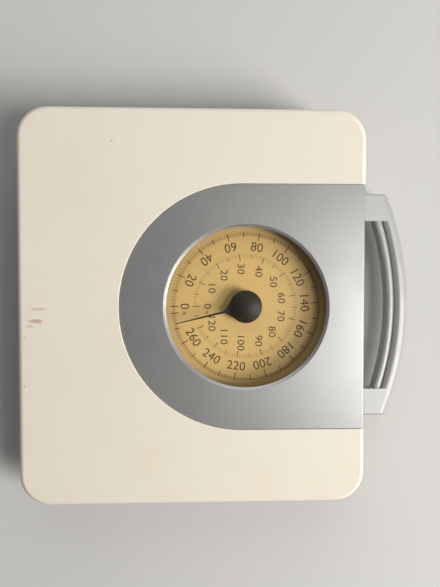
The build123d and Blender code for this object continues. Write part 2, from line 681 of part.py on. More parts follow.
with BuildPart() as long_lever:
    block(
        (LEVER_X - LEVER_T / 2, LEVER_X + LEVER_T / 2),
        (REAR_FULCRUM_Y - LEVER_TAIL, BEND_REAR_Y),
        (ARM_LOW, ARM_HIGH),
    )
    rod_z(LEVER_X, BEND_REAR_Y, LEVER_T / 2, (ARM_LOW, ARM_HIGH))
    with BuildSketch(arm_plane((LEVER_X, BEND_REAR_Y), (NOSE_ARM_X, NOSE_Y))):
        Polygon(
            (0, ARM_LOW),
            (LONG_RUN, NOSE_ARM_LOW),
            (LONG_RUN, NOSE_ARM_HIGH),
            (0, ARM_HIGH),
            align=None,
        )
    extrude(amount=LEVER_T / 2, both=True)
    pin_hole(REAR_FULCRUM_Y, LEVER_X)
    pin_hole(REAR_LOAD_Y, LEVER_X)
    slot_low = PIVOT_Z - LINK_PIN_R - LINK_PLAY_Z
    slot_high = PIVOT_Z + LINK_PIN_R + LINK_PLAY_Z
    block(
        (LINK_ARM_X - LINK_OFFSET, LINK_ARM_X + LINK_OFFSET),
        (LINK_Y - LINK_PIN_R - LINK_PLAY_Y, LINK_Y + LINK_PIN_R + LINK_PLAY_Y),
        (slot_low, slot_high),
        mode=Mode.SUBTRACT,
    )
    mirror(about=Plane.YZ)
    block((-NOSE_HALF, NOSE_HALF), (TIP_Y - NOSE_EDGE, NOSE_Y + NOSE_FRONT), (NOSE_UNDER, NOSE_TOP))
    block(
        (-EYE_TAB_HALF, EYE_TAB_HALF),
        (NOSE_Y - EYE_TAB_T / 2, NOSE_Y + EYE_TAB_T / 2),
        (NOSE_UNDER, NOSE_TOP + EYE_TAB_HEIGHT),
    )
    rod_y(0, NOSE_EYE_Z, EYE_R, (NOSE_Y - EYE_TAB_T, NOSE_Y + EYE_TAB_T), mode=Mode.SUBTRACT)
write(long_lever, "long_lever")

with BuildPart() as long_lever_pins:
    for side in (-1, 1):
        for pin_y in (REAR_FULCRUM_Y, REAR_LOAD_Y):
            rod_x(pin_y, PIVOT_Z, PIN_R, (side * LEVER_X - PIN_HALF, side * LEVER_X + PIN_HALF))
write(long_lever_pins, "long_lever_pins")

# Short levers: from the front corners back to the long arms

SHORT_RUN = math.hypot(LEVER_X - LINK_END_X, BEND_FRONT_Y - LINK_Y)
SHORT_END_LOW = PIVOT_Z - LINK_PIN_R - EAR_CAP
SHORT_END_HIGH = PIVOT_Z + LINK_PIN_R + EAR_CAP / 2

for side, side_name in ((-1, "left"), (1, "right")):
    lever_x = side * LEVER_X
    with BuildPart() as short_lever:
        block(
            (lever_x - LEVER_T / 2, lever_x + LEVER_T / 2),
            (BEND_FRONT_Y, FRONT_FULCRUM_Y + LEVER_TAIL),
            (ARM_LOW, ARM_HIGH),
        )
        rod_z(lever_x, BEND_FRONT_Y, LEVER_T / 2, (ARM_LOW, ARM_HIGH))
        with BuildSketch(arm_plane((lever_x, BEND_FRONT_Y), (side * LINK_END_X, LINK_Y))):
            Polygon(
                (0, ARM_LOW),
                (SHORT_RUN, SHORT_END_LOW),
                (SHORT_RUN, SHORT_END_HIGH),
                (0, ARM_HIGH),
                align=None,
            )
        extrude(amount=LEVER_T / 2, both=True)
        rod_x(
            LINK_Y,
            PIVOT_Z,
            LINK_PIN_R + EAR_CAP / 2,
            sorted((side * LINK_END_X, side * (LINK_END_X + LEVER_T))),
        )
        rod_x(
            LINK_Y,
            PIVOT_Z,
            LINK_PIN_R,
            sorted((side * (LINK_ARM_X - LINK_PROUD), side * (LINK_END_X + LEVER_T))),
        )
        for pin_y in (FRONT_FULCRUM_Y, FRONT_LOAD_Y):
            pin_hole(pin_y, lever_x)
    write(short_lever, f"short_lever_{side_name}")

    with BuildPart() as short_lever_pins:
        for pin_y in (FRONT_FULCRUM_Y, FRONT_LOAD_Y):
            rod_x(pin_y, PIVOT_Z, PIN_R, (lever_x - PIN_HALF, lever_x + PIN_HALF))
    write(short_lever_pins, f"short_lever_{side_name}_pins")

# Bell crank: turns the nose's fall into the rack's push

CRANK_HUB_LEFT = CRANK_X - CRANK_HUB_T / 2
CRANK_HUB_RIGHT = CRANK_X + CRANK_HUB_T / 2
CRANK_EAR_LEFT = CRANK_HUB_LEFT - CRANK_EAR_GAP - CRANK_EAR_T
CRANK_EAR_RIGHT = CRANK_HUB_RIGHT + CRANK_EAR_GAP
CRANK_PLANE = Plane.YZ.offset(CRANK_X)

with BuildPart() as bell_crank:
    with BuildSketch(CRANK_PLANE):
        with Locations((CRANK_Y, CRANK_Z), (TIP_Y, TIP_Z)):
            Circle(CRANK_ARM_HALF)
        make_hull()
        with Locations((TIP_Y, TIP_Z)):
            Circle(CRANK_TIP_R)
    extrude(amount=CRANK_T / 2, both=True)
    with BuildSketch(CRANK_PLANE):
        with Locations((CRANK_Y, CRANK_Z), (STUD_Y, STUD_Z)):
            Circle(CRANK_STUD_BOSS_R)
        make_hull()
    extrude(amount=CRANK_T / 2, both=True)
    rod_x(CRANK_Y, CRANK_Z, CRANK_HUB_R, (CRANK_HUB_LEFT, CRANK_HUB_RIGHT))
    rod_x(STUD_Y, STUD_Z, CRANK_STUD_R, (CRANK_X, RACK_ROOT_X))
    rod_x(
        CRANK_Y,
        CRANK_Z,
        CRANK_PIN_R + PIVOT_CLEARANCE,
        (CRANK_HUB_LEFT, CRANK_HUB_RIGHT),
        mode=Mode.SUBTRACT,
    )
write(bell_crank, "bell_crank")

with BuildPart() as crank_pin:
    rod_x(
        CRANK_Y,
        CRANK_Z,
        CRANK_PIN_R,
        (CRANK_EAR_LEFT - PIN_PROUD, CRANK_EAR_RIGHT + CRANK_EAR_T + PIN_PROUD),
    )
write(crank_pin, "crank_pin")

EAR_TOP = CRANK_Z + CRANK_PIN_R + EAR_CAP
ANCHOR_FRONT = CRANK_Y - RETURN_ANCHOR_BACK + RETURN_ANCHOR_WIDTH
ANCHOR_BACK = CRANK_Y - RETURN_ANCHOR_BACK
ANCHOR_EYE_Y = ANCHOR_BACK + RETURN_EYE_EDGE
ANCHOR_X = CRANK_EAR_LEFT + CRANK_EAR_T / 2
CRANK_RIVET_PLACES = [
    (CRANK_X, ANCHOR_BACK + RIVET_HEAD_R),
    (CRANK_X, CRANK_Y),
]

with BuildPart() as crank_bracket:
    block(
        (CRANK_EAR_LEFT, CRANK_EAR_RIGHT + CRANK_EAR_T),
        (ANCHOR_BACK, CRANK_Y + CRANK_EAR_HALF),
        (FLOOR, FLOOR + CRANK_FLOOR_T),
    )
    for ear_x in (CRANK_EAR_LEFT, CRANK_EAR_RIGHT):
        block(
            (ear_x, ear_x + CRANK_EAR_T),
            (CRANK_Y - CRANK_EAR_HALF, CRANK_Y + CRANK_EAR_HALF),
            (FLOOR, EAR_TOP),
        )
    block(
        (CRANK_EAR_LEFT, CRANK_EAR_LEFT + CRANK_EAR_T),
        (ANCHOR_BACK, ANCHOR_FRONT),
        (FLOOR, RACK_MID + RETURN_EYE_R + RETURN_TAB_RISE),
    )
    block(
        (CRANK_EAR_LEFT, CRANK_EAR_LEFT + CRANK_EAR_T),
        (ANCHOR_BACK, CRANK_Y),
        (FLOOR, EAR_TOP),
    )
    rod_x(
        ANCHOR_EYE_Y,
        RACK_MID,
        RETURN_EYE_R,
        (CRANK_EAR_LEFT, CRANK_EAR_LEFT + CRANK_EAR_T),
        mode=Mode.SUBTRACT,
    )
    rod_x(
        CRANK_Y,
        CRANK_Z,
        CRANK_PIN_R + PRESS_GAP,
        (CRANK_EAR_LEFT, CRANK_EAR_RIGHT + CRANK_EAR_T),
        mode=Mode.SUBTRACT,
    )
    for x, y in CRANK_RIVET_PLACES:
        rod_z(x, y, RIVET_R + PRESS_GAP, (FLOOR, FLOOR + CRANK_FLOOR_T), mode=Mode.SUBTRACT)
write(crank_bracket, "crank_bracket")

# Rack: toothed strip, with a fork for the crank and a lug for its return spring

LUG_Y = DIAL_Y + RETURN_LUG_AHEAD
LUG_EYE_Y = LUG_Y + RETURN_TAB_HALF - RETURN_EYE_EDGE
TAB_LEFT = ANCHOR_X - CRANK_EAR_T / 2
RACK_REAR = DIAL_Y - RACK_TRAVEL - RACK_END * TOOTH_PITCH
TEETH_FRONT = DIAL_Y + RACK_END * TOOTH_PITCH
RACK_TOOTH_COUNT = int((RACK_TRAVEL + 2 * RACK_END * TOOTH_PITCH) / TOOTH_PITCH)
FLANK = math.tan(math.radians(PRESSURE_ANGLE))
HALF_TOOTH = TOOTH_SHARE * TOOTH_PITCH / 2

with BuildPart() as rack:
    block((RACK_BACK_X, RACK_ROOT_X), (RACK_REAR, STUD_Y), (RACK_UNDER, RACK_TOP))
    with BuildSketch(Plane.XY.offset(RACK_UNDER)):
        for number in range(RACK_TOOTH_COUNT):
            tooth_y = TEETH_FRONT - (number + 1) * TOOTH_PITCH + (RACK_END % 1 - 0.5) * -TOOTH_PITCH
            root_half = HALF_TOOTH + (PINION_ADDENDUM + TOOTH_ROOT_GAP) * FLANK
            tip_half = HALF_TOOTH - RACK_ADDENDUM * FLANK
            Polygon(
                (RACK_ROOT_X - TOOTH_ROOT_GAP, tooth_y - root_half),
                (RACK_ROOT_X, tooth_y - root_half),
                (RACK_ADDENDUM - PITCH_R, tooth_y - tip_half),
                (RACK_ADDENDUM - PITCH_R, tooth_y + tip_half),
                (RACK_ROOT_X, tooth_y + root_half),
                (RACK_ROOT_X - TOOTH_ROOT_GAP, tooth_y + root_half),
                align=None,
            )
    extrude(amount=RACK_T)
    fork_half = CRANK_STUD_R + FORK_PLAY + FORK_PRONG
    block(
        (RACK_BACK_X, RACK_ROOT_X),
        (STUD_Y - fork_half, STUD_Y + fork_half),
        (RACK_UNDER - FORK_FLOOR, FORK_TOP),
    )
    block(
        (RACK_BACK_X, RACK_ROOT_X),
        (STUD_Y - CRANK_STUD_R - FORK_PLAY, STUD_Y + CRANK_STUD_R + FORK_PLAY),
        (RACK_UNDER, FORK_TOP),
        mode=Mode.SUBTRACT,
    )
    tab_depth = (LUG_Y - RETURN_TAB_HALF, LUG_Y + RETURN_TAB_HALF)
    block((TAB_LEFT, RACK_ROOT_X), tab_depth, (RACK_UNDER, RACK_TOP))
    block(
        (TAB_LEFT, TAB_LEFT + CRANK_EAR_T),
        tab_depth,
        (RACK_MID - RETURN_EYE_R - RETURN_TAB_RISE, RACK_MID + RETURN_EYE_R + RETURN_TAB_RISE),
    )
    block(
        (TAB_LEFT + CRANK_EAR_T, RACK_BACK_X),
        (LUG_Y, LUG_Y + RETURN_TAB_HALF),
        (RACK_UNDER, RACK_TOP),
        mode=Mode.SUBTRACT,
    )
    rod_x(LUG_EYE_Y, RACK_MID, RETURN_EYE_R, (TAB_LEFT, TAB_LEFT + CRANK_EAR_T), mode=Mode.SUBTRACT)
write(rack, "rack")


def hook_spring(wire_r, coil_r, ring_r, turns, span):
    """A coil along Z between two end rings, from the foot of one to the head of the other."""
    coil_low = 2 * ring_r
    coil_high = span - 2 * ring_r
    rise = coil_high - coil_low
    with BuildPart() as spring:
        with BuildLine() as coil:
            Helix(pitch=rise / turns, height=rise, radius=coil_r, center=(0, 0, coil_low))
        with BuildSketch(Plane(origin=coil.line @ 0, z_dir=coil.line % 0)):
            Circle(wire_r)
        sweep(path=coil.line, is_frenet=True)
        for end_z, ring_z in ((coil_low, ring_r), (coil_high, span - ring_r)):
            rod_x(0, end_z, wire_r * SPRING_LEG_SHARE, (-wire_r / 2, coil_r + wire_r / 2))
            with Locations((0, 0, ring_z)):
                Torus(ring_r, wire_r, rotation=(0, 90, 0))
    return spring.part


RETURN_SPAN = ANCHOR_EYE_Y - LUG_EYE_Y
RETURN_PLANE = Plane(origin=(ANCHOR_X, LUG_EYE_Y, RACK_MID), x_dir=(0, 0, 1), z_dir=(0, 1, 0))
with BuildPart() as return_spring:
    with Locations(Location(RETURN_PLANE)):
        add(hook_spring(RETURN_WIRE_R, RETURN_COIL_R, RETURN_RING_R, RETURN_TURNS, RETURN_SPAN))
write(return_spring, "return_spring")

# Movement plate on four pillars

with BuildPart() as movement_plate:
    with BuildSketch(Plane.XY.offset(MOVEMENT_UNDER)):
        with Locations(*PILLAR_PLACES):
            Circle(PILLAR_R + PILLAR_EDGE)
        make_hull()
    extrude(amount=MOVEMENT_T)
    rod_z(0, DIAL_Y, UPPER_BUSH_R + PRESS_GAP, (MOVEMENT_UNDER, MOVEMENT_TOP), mode=Mode.SUBTRACT)
    rod_z(
        RACK_BACK_X - GUIDE_BODY / 2,
        DIAL_Y,
        GUIDE_TENON_R + PRESS_GAP,
        (MOVEMENT_UNDER, MOVEMENT_TOP),
        mode=Mode.SUBTRACT,
    )
    for x, y in PILLAR_PLACES:
        rod_z(x, y, PILLAR_TENON_R + PRESS_GAP, (MOVEMENT_UNDER, MOVEMENT_TOP), mode=Mode.SUBTRACT)
    with Locations((0, DIAL_Y, MOVEMENT_UNDER + MOVEMENT_T / 2)):
        with PolarLocations(DIAL_RIVET_CIRCLE_R, DIAL_RIVET_COUNT):
            Cylinder(RIVET_R + PRESS_GAP, MOVEMENT_T, mode=Mode.SUBTRACT)
write(movement_plate, "movement_plate")

with BuildPart() as movement_pillars:
    for x, y in PILLAR_PLACES:
        rod_z(x, y, PILLAR_R, (FLOOR, MOVEMENT_UNDER))
        rod_z(x, y, PILLAR_TENON_R, (MOVEMENT_UNDER, MOVEMENT_TOP))
        rod_z(x, y, PILLAR_SCREW_R + PRESS_GAP, (FLOOR, FLOOR + PILLAR_SCREW_BITE), mode=Mode.SUBTRACT)
write(movement_pillars, "movement_pillars")

with BuildPart() as pillar_screws:
    for x, y in PILLAR_PLACES:
        rod_z(x, y, PILLAR_SCREW_R, (FOOT_HEIGHT, FLOOR + PILLAR_SCREW_BITE - PRESS_GAP))
        rod_z(x, y, PILLAR_SCREW_HEAD_R, (FOOT_HEIGHT - PILLAR_SCREW_HEAD_T, FOOT_HEIGHT))
write(pillar_screws, "pillar_screws")

with BuildPart() as rack_guide:
    block(
        (RACK_BACK_X - GUIDE_BODY, RACK_BACK_X - GUIDE_GAP),
        (DIAL_Y - GUIDE_LENGTH / 2, DIAL_Y + GUIDE_LENGTH / 2),
        (RACK_UNDER - GUIDE_GAP - GUIDE_LEDGE_T, MOVEMENT_UNDER),
    )
    block(
        (RACK_BACK_X - GUIDE_GAP, RACK_BACK_X + GUIDE_LEDGE),
        (DIAL_Y - GUIDE_LENGTH / 2, DIAL_Y + GUIDE_LENGTH / 2),
        (RACK_UNDER - GUIDE_GAP - GUIDE_LEDGE_T, RACK_UNDER - GUIDE_GAP),
    )
    rod_z(RACK_BACK_X - GUIDE_BODY / 2, DIAL_Y, GUIDE_TENON_R, (MOVEMENT_UNDER, MOVEMENT_TOP))
write(rack_guide, "rack_guide")

# Dial plate, its rivets, the shaft and its bushes

with BuildPart() as dial_plate:
    rod_z(0, DIAL_Y, DIAL_R, (MOVEMENT_TOP, DIAL_TOP))
    rod_z(0, DIAL_Y, UPPER_BUSH_R, (MOVEMENT_TOP, DIAL_TOP), mode=Mode.SUBTRACT)
    with Locations((0, DIAL_Y, MOVEMENT_TOP + DIAL_T / 2)):
        with PolarLocations(DIAL_RIVET_CIRCLE_R, DIAL_RIVET_COUNT):
            Cylinder(RIVET_R + PRESS_GAP, DIAL_T, mode=Mode.SUBTRACT)
write(dial_plate, "dial_plate")

with BuildPart() as dial_rivets:
    with Locations((0, DIAL_Y, (MOVEMENT_UNDER + DIAL_TOP) / 2)):
        with PolarLocations(DIAL_RIVET_CIRCLE_R, DIAL_RIVET_COUNT):
            Cylinder(RIVET_R, DIAL_TOP - MOVEMENT_UNDER)
    for head_z in (MOVEMENT_UNDER - RIVET_HEAD_T / 2, DIAL_TOP + RIVET_HEAD_T / 2):
        with Locations((0, DIAL_Y, head_z)):
            with PolarLocations(DIAL_RIVET_CIRCLE_R, DIAL_RIVET_COUNT):
                Cylinder(RIVET_HEAD_R, RIVET_HEAD_T)
write(dial_rivets, "dial_rivets")

with BuildPart() as upper_bush:
    rod_z(0, DIAL_Y, UPPER_BUSH_R, (MOVEMENT_UNDER, MOVEMENT_TOP))
    rod_z(0, DIAL_Y, BUSH_FLANGE_R, (MOVEMENT_UNDER - BUSH_FLANGE_T, MOVEMENT_UNDER))
    rod_z(
        0,
        DIAL_Y,
        SHAFT_R + BUSH_BORE_CLEARANCE,
        (MOVEMENT_UNDER - BUSH_FLANGE_T, MOVEMENT_TOP),
        mode=Mode.SUBTRACT,
    )
write(upper_bush, "upper_bush")

with BuildPart() as lower_bush:
    rod_z(0, DIAL_Y, LOWER_BUSH_R, (FLOOR, FLOOR + LOWER_BUSH_HEIGHT))
    rod_z(0, DIAL_Y, LOWER_BUSH_TENON_R, (FOOT_HEIGHT, FLOOR))
    rod_z(
        0,
        DIAL_Y,
        SHAFT_R + BUSH_BORE_CLEARANCE,
        (FLOOR + LOWER_BUSH_FLOOR, FLOOR + LOWER_BUSH_HEIGHT),
        mode=Mode.SUBTRACT,
    )
write(lower_bush, "lower_bush")

with BuildPart() as dial_shaft:
    rod_z(0, DIAL_Y, SHAFT_R, (SHAFT_BOTTOM, SHAFT_TOP))
write(dial_shaft, "dial_shaft")

# Pinion with involute flanks, a tooth of it in a gap of the rack at rest

BASE_CIRCLE_R = PITCH_R * math.cos(math.radians(PRESSURE_ANGLE))
PINION_OUT_R = PITCH_R + PINION_ADDENDUM
PINION_ROOT_R = PITCH_R - RACK_ADDENDUM - TOOTH_ROOT_GAP


def involute(radius):
    """The involute function of the pressure angle at a radius."""
    angle = math.acos(min(1.0, BASE_CIRCLE_R / radius))
    return math.tan(angle) - angle


def tooth_points(middle):
    """One tooth of the pinion as a closed row of points round its middle angle."""
    flank_radii = [
        BASE_CIRCLE_R + step * (PINION_OUT_R - BASE_CIRCLE_R) / 4 for step in range(5)
    ]
    pitch_half = HALF_TOOTH / PITCH_R + involute(PITCH_R)
    flank = [(radius, pitch_half - involute(radius)) for radius in flank_radii]
    flank.insert(0, (PINION_ROOT_R - TOOTH_ROOT_GAP, pitch_half))
    rising = [(radius, middle - half) for radius, half in flank]
    falling = [(radius, middle + half) for radius, half in reversed(flank)]
    return [
        (radius * math.cos(angle), DIAL_Y + radius * math.sin(angle))
        for radius, angle in rising + falling
    ]


with BuildPart() as pinion:
    with BuildSketch(Plane.XY.offset(RACK_UNDER - PINION_OVERHANG)):
        with Locations((0, DIAL_Y)):
            Circle(PINION_ROOT_R)
        for tooth in range(PINION_TEETH):
            Polygon(*tooth_points(math.pi + 2 * math.pi * tooth / PINION_TEETH), align=None)
        with Locations((0, DIAL_Y)):
            Circle(SHAFT_R + PRESS_GAP, mode=Mode.SUBTRACT)
    extrude(amount=RACK_T + 2 * PINION_OVERHANG)
write(pinion, "pinion")

# Pointer: a thin plate whose hub runs out into a needle

NEEDLE_PLANE = Plane(
    origin=(0, DIAL_Y, POINTER_UNDER),
    x_dir=(math.sin(math.radians(POINTER_REST)), -math.cos(math.radians(POINTER_REST)), 0),
    z_dir=(0, 0, 1),
)
FLARE_X = POINTER_HUB_R * math.cos(math.radians(POINTER_FLARE_ANGLE))
FLARE_Y = POINTER_HUB_R * math.sin(math.radians(POINTER_FLARE_ANGLE))

with BuildPart() as pointer:
    with BuildSketch(NEEDLE_PLANE):
        Circle(POINTER_HUB_R)
        Polygon(
            (FLARE_X, -FLARE_Y),
            (POINTER_FLARE_R, -POINTER_ROOT_HALF),
            (POINTER_TIP_R, -POINTER_TIP_HALF),
            (POINTER_TIP_R, POINTER_TIP_HALF),
            (POINTER_FLARE_R, POINTER_ROOT_HALF),
            (FLARE_X, FLARE_Y),
            align=None,
        )
    extrude(amount=POINTER_T)
    rod_z(0, DIAL_Y, POINTER_BOSS_R, (DIAL_TOP + POINTER_BOSS_GAP, POINTER_UNDER))
    rod_z(0, DIAL_Y, SHAFT_R + PRESS_GAP, (DIAL_TOP + POINTER_BOSS_GAP, POINTER_TOP), mode=Mode.SUBTRACT)
write(pointer, "pointer")

with BuildPart() as pointer_cap:
    rod_z(0, DIAL_Y, POINTER_CAP_R, (POINTER_TOP, POINTER_TOP + POINTER_CAP_T))
    fillet(pointer_cap.faces().sort_by(Axis.Z)[-1].edges(), POINTER_CAP_EDGE_R)
    rod_z(0, DIAL_Y, SHAFT_R + PRESS_GAP, (POINTER_TOP, SHAFT_TOP + PRESS_GAP), mode=Mode.SUBTRACT)
write(pointer_cap, "pointer_cap")

# Main spring from the lever's nose up to the hanger

with BuildPart() as main_spring:
    with Locations((0, NOSE_Y, MAIN_LOW)):
        add(hook_spring(MAIN_WIRE_R, MAIN_COIL_R, MAIN_RING_R, MAIN_TURNS, MAIN_HIGH - MAIN_LOW))
write(main_spring, "main_spring")

# Bracket on the front wall, with the lugs that hold the adjusting screw

LUG_BACK = ZERO_Y - ZERO_LUG_HALF
WINDOW_HALF = math.sqrt(ZERO_WHEEL_R**2 - (PLATE_BACK - ZERO_Y) ** 2) + ZERO_WHEEL_GAP
SLOT_HALF = math.sqrt(ZERO_WHEEL_R**2 - (WALL_IN - ZERO_Y) ** 2) + ZERO_WHEEL_GAP
WHEEL_SLOT = (ZERO_WHEEL_UNDER - ZERO_WHEEL_GAP, ZERO_WHEEL_TOP + ZERO_WHEEL_GAP)
GUIDE_RIVET_PLACES = [
    (GUIDE_RIVET_X, NUT_UNDER + GUIDE_RIVET_LOW),
    (GUIDE_RIVET_X, NUT_UNDER + GUIDE_RIVET_HIGH),
]
PLATE_RIVET_PLACES = [
    (x, z)
    for x in (RIVET_HEAD_R * 2 - BACK_PLATE_LEFT, BACK_PLATE_RIGHT - RIVET_HEAD_R * 2)
    for z in (ZERO_LOW_LUG + RIVET_HEAD_R, ZERO_WHEEL_TOP + RIVET_HEAD_R)
]

with BuildPart() as spring_bracket:
    block((-BACK_PLATE_LEFT, BACK_PLATE_RIGHT), (PLATE_BACK, WALL_IN), (BACK_PLATE_UNDER, BACK_PLATE_TOP))
    window = (ZERO_X - WINDOW_HALF, ZERO_X + WINDOW_HALF)
    block(window, (PLATE_BACK, WALL_IN), WHEEL_SLOT, mode=Mode.SUBTRACT)
    for lug_z in (ZERO_LOW_LUG, ZERO_HIGH_LUG):
        lug_span = (lug_z, lug_z + ZERO_LUG_T)
        block((ZERO_X - ZERO_LUG_HALF, ZERO_X + ZERO_LUG_HALF), (LUG_BACK, PLATE_BACK), lug_span)
        rod_z(ZERO_X, ZERO_Y, ZERO_SCREW_R + PIVOT_CLEARANCE, lug_span, mode=Mode.SUBTRACT)
    for x, z in GUIDE_RIVET_PLACES:
        rod_y(x, z, GUIDE_RIVET_R + PRESS_GAP, (PLATE_BACK, WALL_IN), mode=Mode.SUBTRACT)
    for x, z in PLATE_RIVET_PLACES:
        rod_y(x, z, RIVET_R + PRESS_GAP, (PLATE_BACK, WALL_IN), mode=Mode.SUBTRACT)
write(spring_bracket, "spring_bracket")

with BuildPart() as guide_rivets:
    for x, z in GUIDE_RIVET_PLACES:
        head_y = HANGER_BACK - GUIDE_RIVET_PLAY
        rod_y(x, z, GUIDE_RIVET_R, (head_y, WALL_IN))
        rod_y(x, z, GUIDE_RIVET_HEAD_R, (head_y - GUIDE_RIVET_HEAD_T, head_y))
        rod_y(x, z, GUIDE_RIVET_SHOULDER_R, (HANGER_FACE + GUIDE_RIVET_PLAY, PLATE_BACK))
write(guide_rivets, "guide_rivets")

with BuildPart() as bracket_rivets:
    for x, z in PLATE_RIVET_PLACES:
        rod_y(x, z, RIVET_R, (PLATE_BACK, BASE_FRONT))
        rod_y(x, z, RIVET_HEAD_R, (PLATE_BACK - RIVET_HEAD_T, PLATE_BACK))
        rod_y(x, z, RIVET_HEAD_R, (BASE_FRONT, BASE_FRONT + RIVET_HEAD_T))
write(bracket_rivets, "bracket_rivets")

# Hanger: slides on the guide rivets and carries the top of the main spring

SLOT_REACH = GUIDE_RIVET_R + ZERO_TRAVEL + LINK_PLAY_Y

with BuildPart() as spring_hanger:
    block((-HANGER_LEFT, HANGER_RIGHT), (HANGER_BACK, HANGER_FACE), (NUT_UNDER, HANGER_TOP))
    block((0, ZERO_X + NUT_HALF), (HANGER_BACK, HANGER_FACE), (NUT_UNDER, NUT_TOP))
    block((ZERO_X - NUT_HALF, ZERO_X + NUT_HALF), (ZERO_Y - NUT_HALF, HANGER_FACE), (NUT_UNDER, NUT_TOP))
    block(
        (-HANGER_LEFT, HANGER_LEFT),
        (NOSE_Y - HANGER_TONGUE_BACK, HANGER_FACE),
        (HANGER_UNDER, HANGER_TOP),
    )
    block(
        (-EYE_TAB_HALF, EYE_TAB_HALF),
        (NOSE_Y - EYE_TAB_T / 2, NOSE_Y + EYE_TAB_T / 2),
        (HANGER_UNDER - EYE_TAB_HEIGHT + EYE_LIFT / 2, HANGER_TOP),
    )
    rod_y(0, HANGER_EYE_Z, EYE_R, (NOSE_Y - EYE_TAB_T, NOSE_Y + EYE_TAB_T), mode=Mode.SUBTRACT)
    rod_z(ZERO_X, ZERO_Y, ZERO_SCREW_R + PIVOT_CLEARANCE, (NUT_UNDER, NUT_TOP), mode=Mode.SUBTRACT)
    for x, z in GUIDE_RIVET_PLACES:
        slot_half = GUIDE_RIVET_R + PIVOT_CLEARANCE
        block(
            (x - slot_half, x + slot_half),
            (HANGER_BACK, HANGER_FACE),
            (z - SLOT_REACH, z + SLOT_REACH),
            mode=Mode.SUBTRACT,
        )
write(spring_hanger, "spring_hanger")

with BuildPart() as adjusting_screw:
    low_lug_top = ZERO_LOW_LUG + ZERO_LUG_T
    high_lug_top = ZERO_HIGH_LUG + ZERO_LUG_T
    rod_z(ZERO_X, ZERO_Y, ZERO_SCREW_R, (ZERO_LOW_LUG - ZERO_SCREW_TAIL, high_lug_top + ZERO_END_GAP))
    rod_z(
        ZERO_X,
        ZERO_Y,
        ZERO_COLLAR_R,
        (low_lug_top + ZERO_END_GAP, low_lug_top + ZERO_END_GAP + ZERO_COLLAR_T),
    )
    rod_z(
        ZERO_X,
        ZERO_Y,
        ZERO_COLLAR_R,
        (high_lug_top + ZERO_END_GAP, high_lug_top + ZERO_END_GAP + ZERO_COLLAR_T),
    )
write(adjusting_screw, "adjusting_screw")

with BuildPart() as zero_wheel:
    wheel_span = (ZERO_WHEEL_UNDER, ZERO_WHEEL_TOP)
    rod_z(ZERO_X, ZERO_Y, ZERO_WHEEL_R, wheel_span)
    with Locations((ZERO_X, ZERO_Y, (ZERO_WHEEL_UNDER + ZERO_WHEEL_TOP) / 2)):
        with PolarLocations(ZERO_WHEEL_R, ZERO_NOTCHES):
            Cylinder(ZERO_NOTCH_R, ZERO_WHEEL_T, mode=Mode.SUBTRACT)
    rod_z(ZERO_X, ZERO_Y, ZERO_SCREW_R + PRESS_GAP, wheel_span, mode=Mode.SUBTRACT)
write(zero_wheel, "zero_wheel")

# Carry handle, screwed to the base's front wall from inside

HANDLE_TOP = SKIRT_BOTTOM - HANDLE_DROP
HANDLE_UNDER = HANDLE_TOP - HANDLE_HEIGHT
HANDLE_MID = (HANDLE_TOP + HANDLE_UNDER) / 2
BAR_OUT = FRONT_Y + HANDLE_REACH
BAR_IN = BAR_OUT - BAR_WIDTH
CORNER_OUT = FRONT_Y + HANDLE_CORNER_REACH
RIM_SAG = BAR_OUT - CORNER_OUT
RIM_ARC_R = (HANDLE_HALF**2 + RIM_SAG**2) / (2 * RIM_SAG)
RIM_ARC_Y = BAR_OUT - RIM_ARC_R
RIM_AT_OPENING = RIM_ARC_Y + math.sqrt(RIM_ARC_R**2 - OPENING_HALF**2)
OPENING_SAG = BAR_OUT - RIM_AT_OPENING + BAR_END_SPREAD
OPENING_ARC_R = (OPENING_HALF**2 + OPENING_SAG**2) / (2 * OPENING_SAG)
OPENING_ARC_Y = BAR_IN - OPENING_ARC_R
GROOVE_FLOOR = HANDLE_TOP - GROOVE_DEPTH
ROLL_CUT_TOP = HANDLE_TOP + GROOVE_DEPTH
OUTER_GROOVE_Y = BAR_OUT - OUTER_ROLL
OUTER_CREST_Y = BAR_OUT - OUTER_CREST
INNER_GROOVE_Y = BAR_IN + INNER_ROLL
ROLL_BAY = ((-OPENING_HALF, OPENING_HALF), (BASE_FRONT, BAR_OUT), (GROOVE_FLOOR, ROLL_CUT_TOP))
POST_MID = (OPENING_HALF + HANDLE_HALF) / 2
HANDLE_SCREW_PLACES = [
    (side * (POST_MID + offset * HANDLE_SCREW_PITCH / 2), HANDLE_MID)
    for side in (-1, 1)
    for offset in (-1, 1)
]

# Room above the bow's outer roll, its groove and its inner roll, between the posts

with BuildPart() as outer_roll_cut:
    with BuildSketch(Plane.YZ):
        with Locations(((OUTER_GROOVE_Y + OUTER_CREST_Y) / 2, (GROOVE_FLOOR + ROLL_CUT_TOP) / 2)):
            Rectangle(OUTER_CREST_Y - OUTER_GROOVE_Y, ROLL_CUT_TOP - GROOVE_FLOOR)
        with Locations((OUTER_CREST_Y, GROOVE_FLOOR)):
            Ellipse(OUTER_CREST_Y - OUTER_GROOVE_Y, GROOVE_DEPTH, mode=Mode.SUBTRACT)
    revolve(axis=Axis((0, RIM_ARC_Y, 0), (0, 0, 1)))
    block(*ROLL_BAY, mode=Mode.INTERSECT)

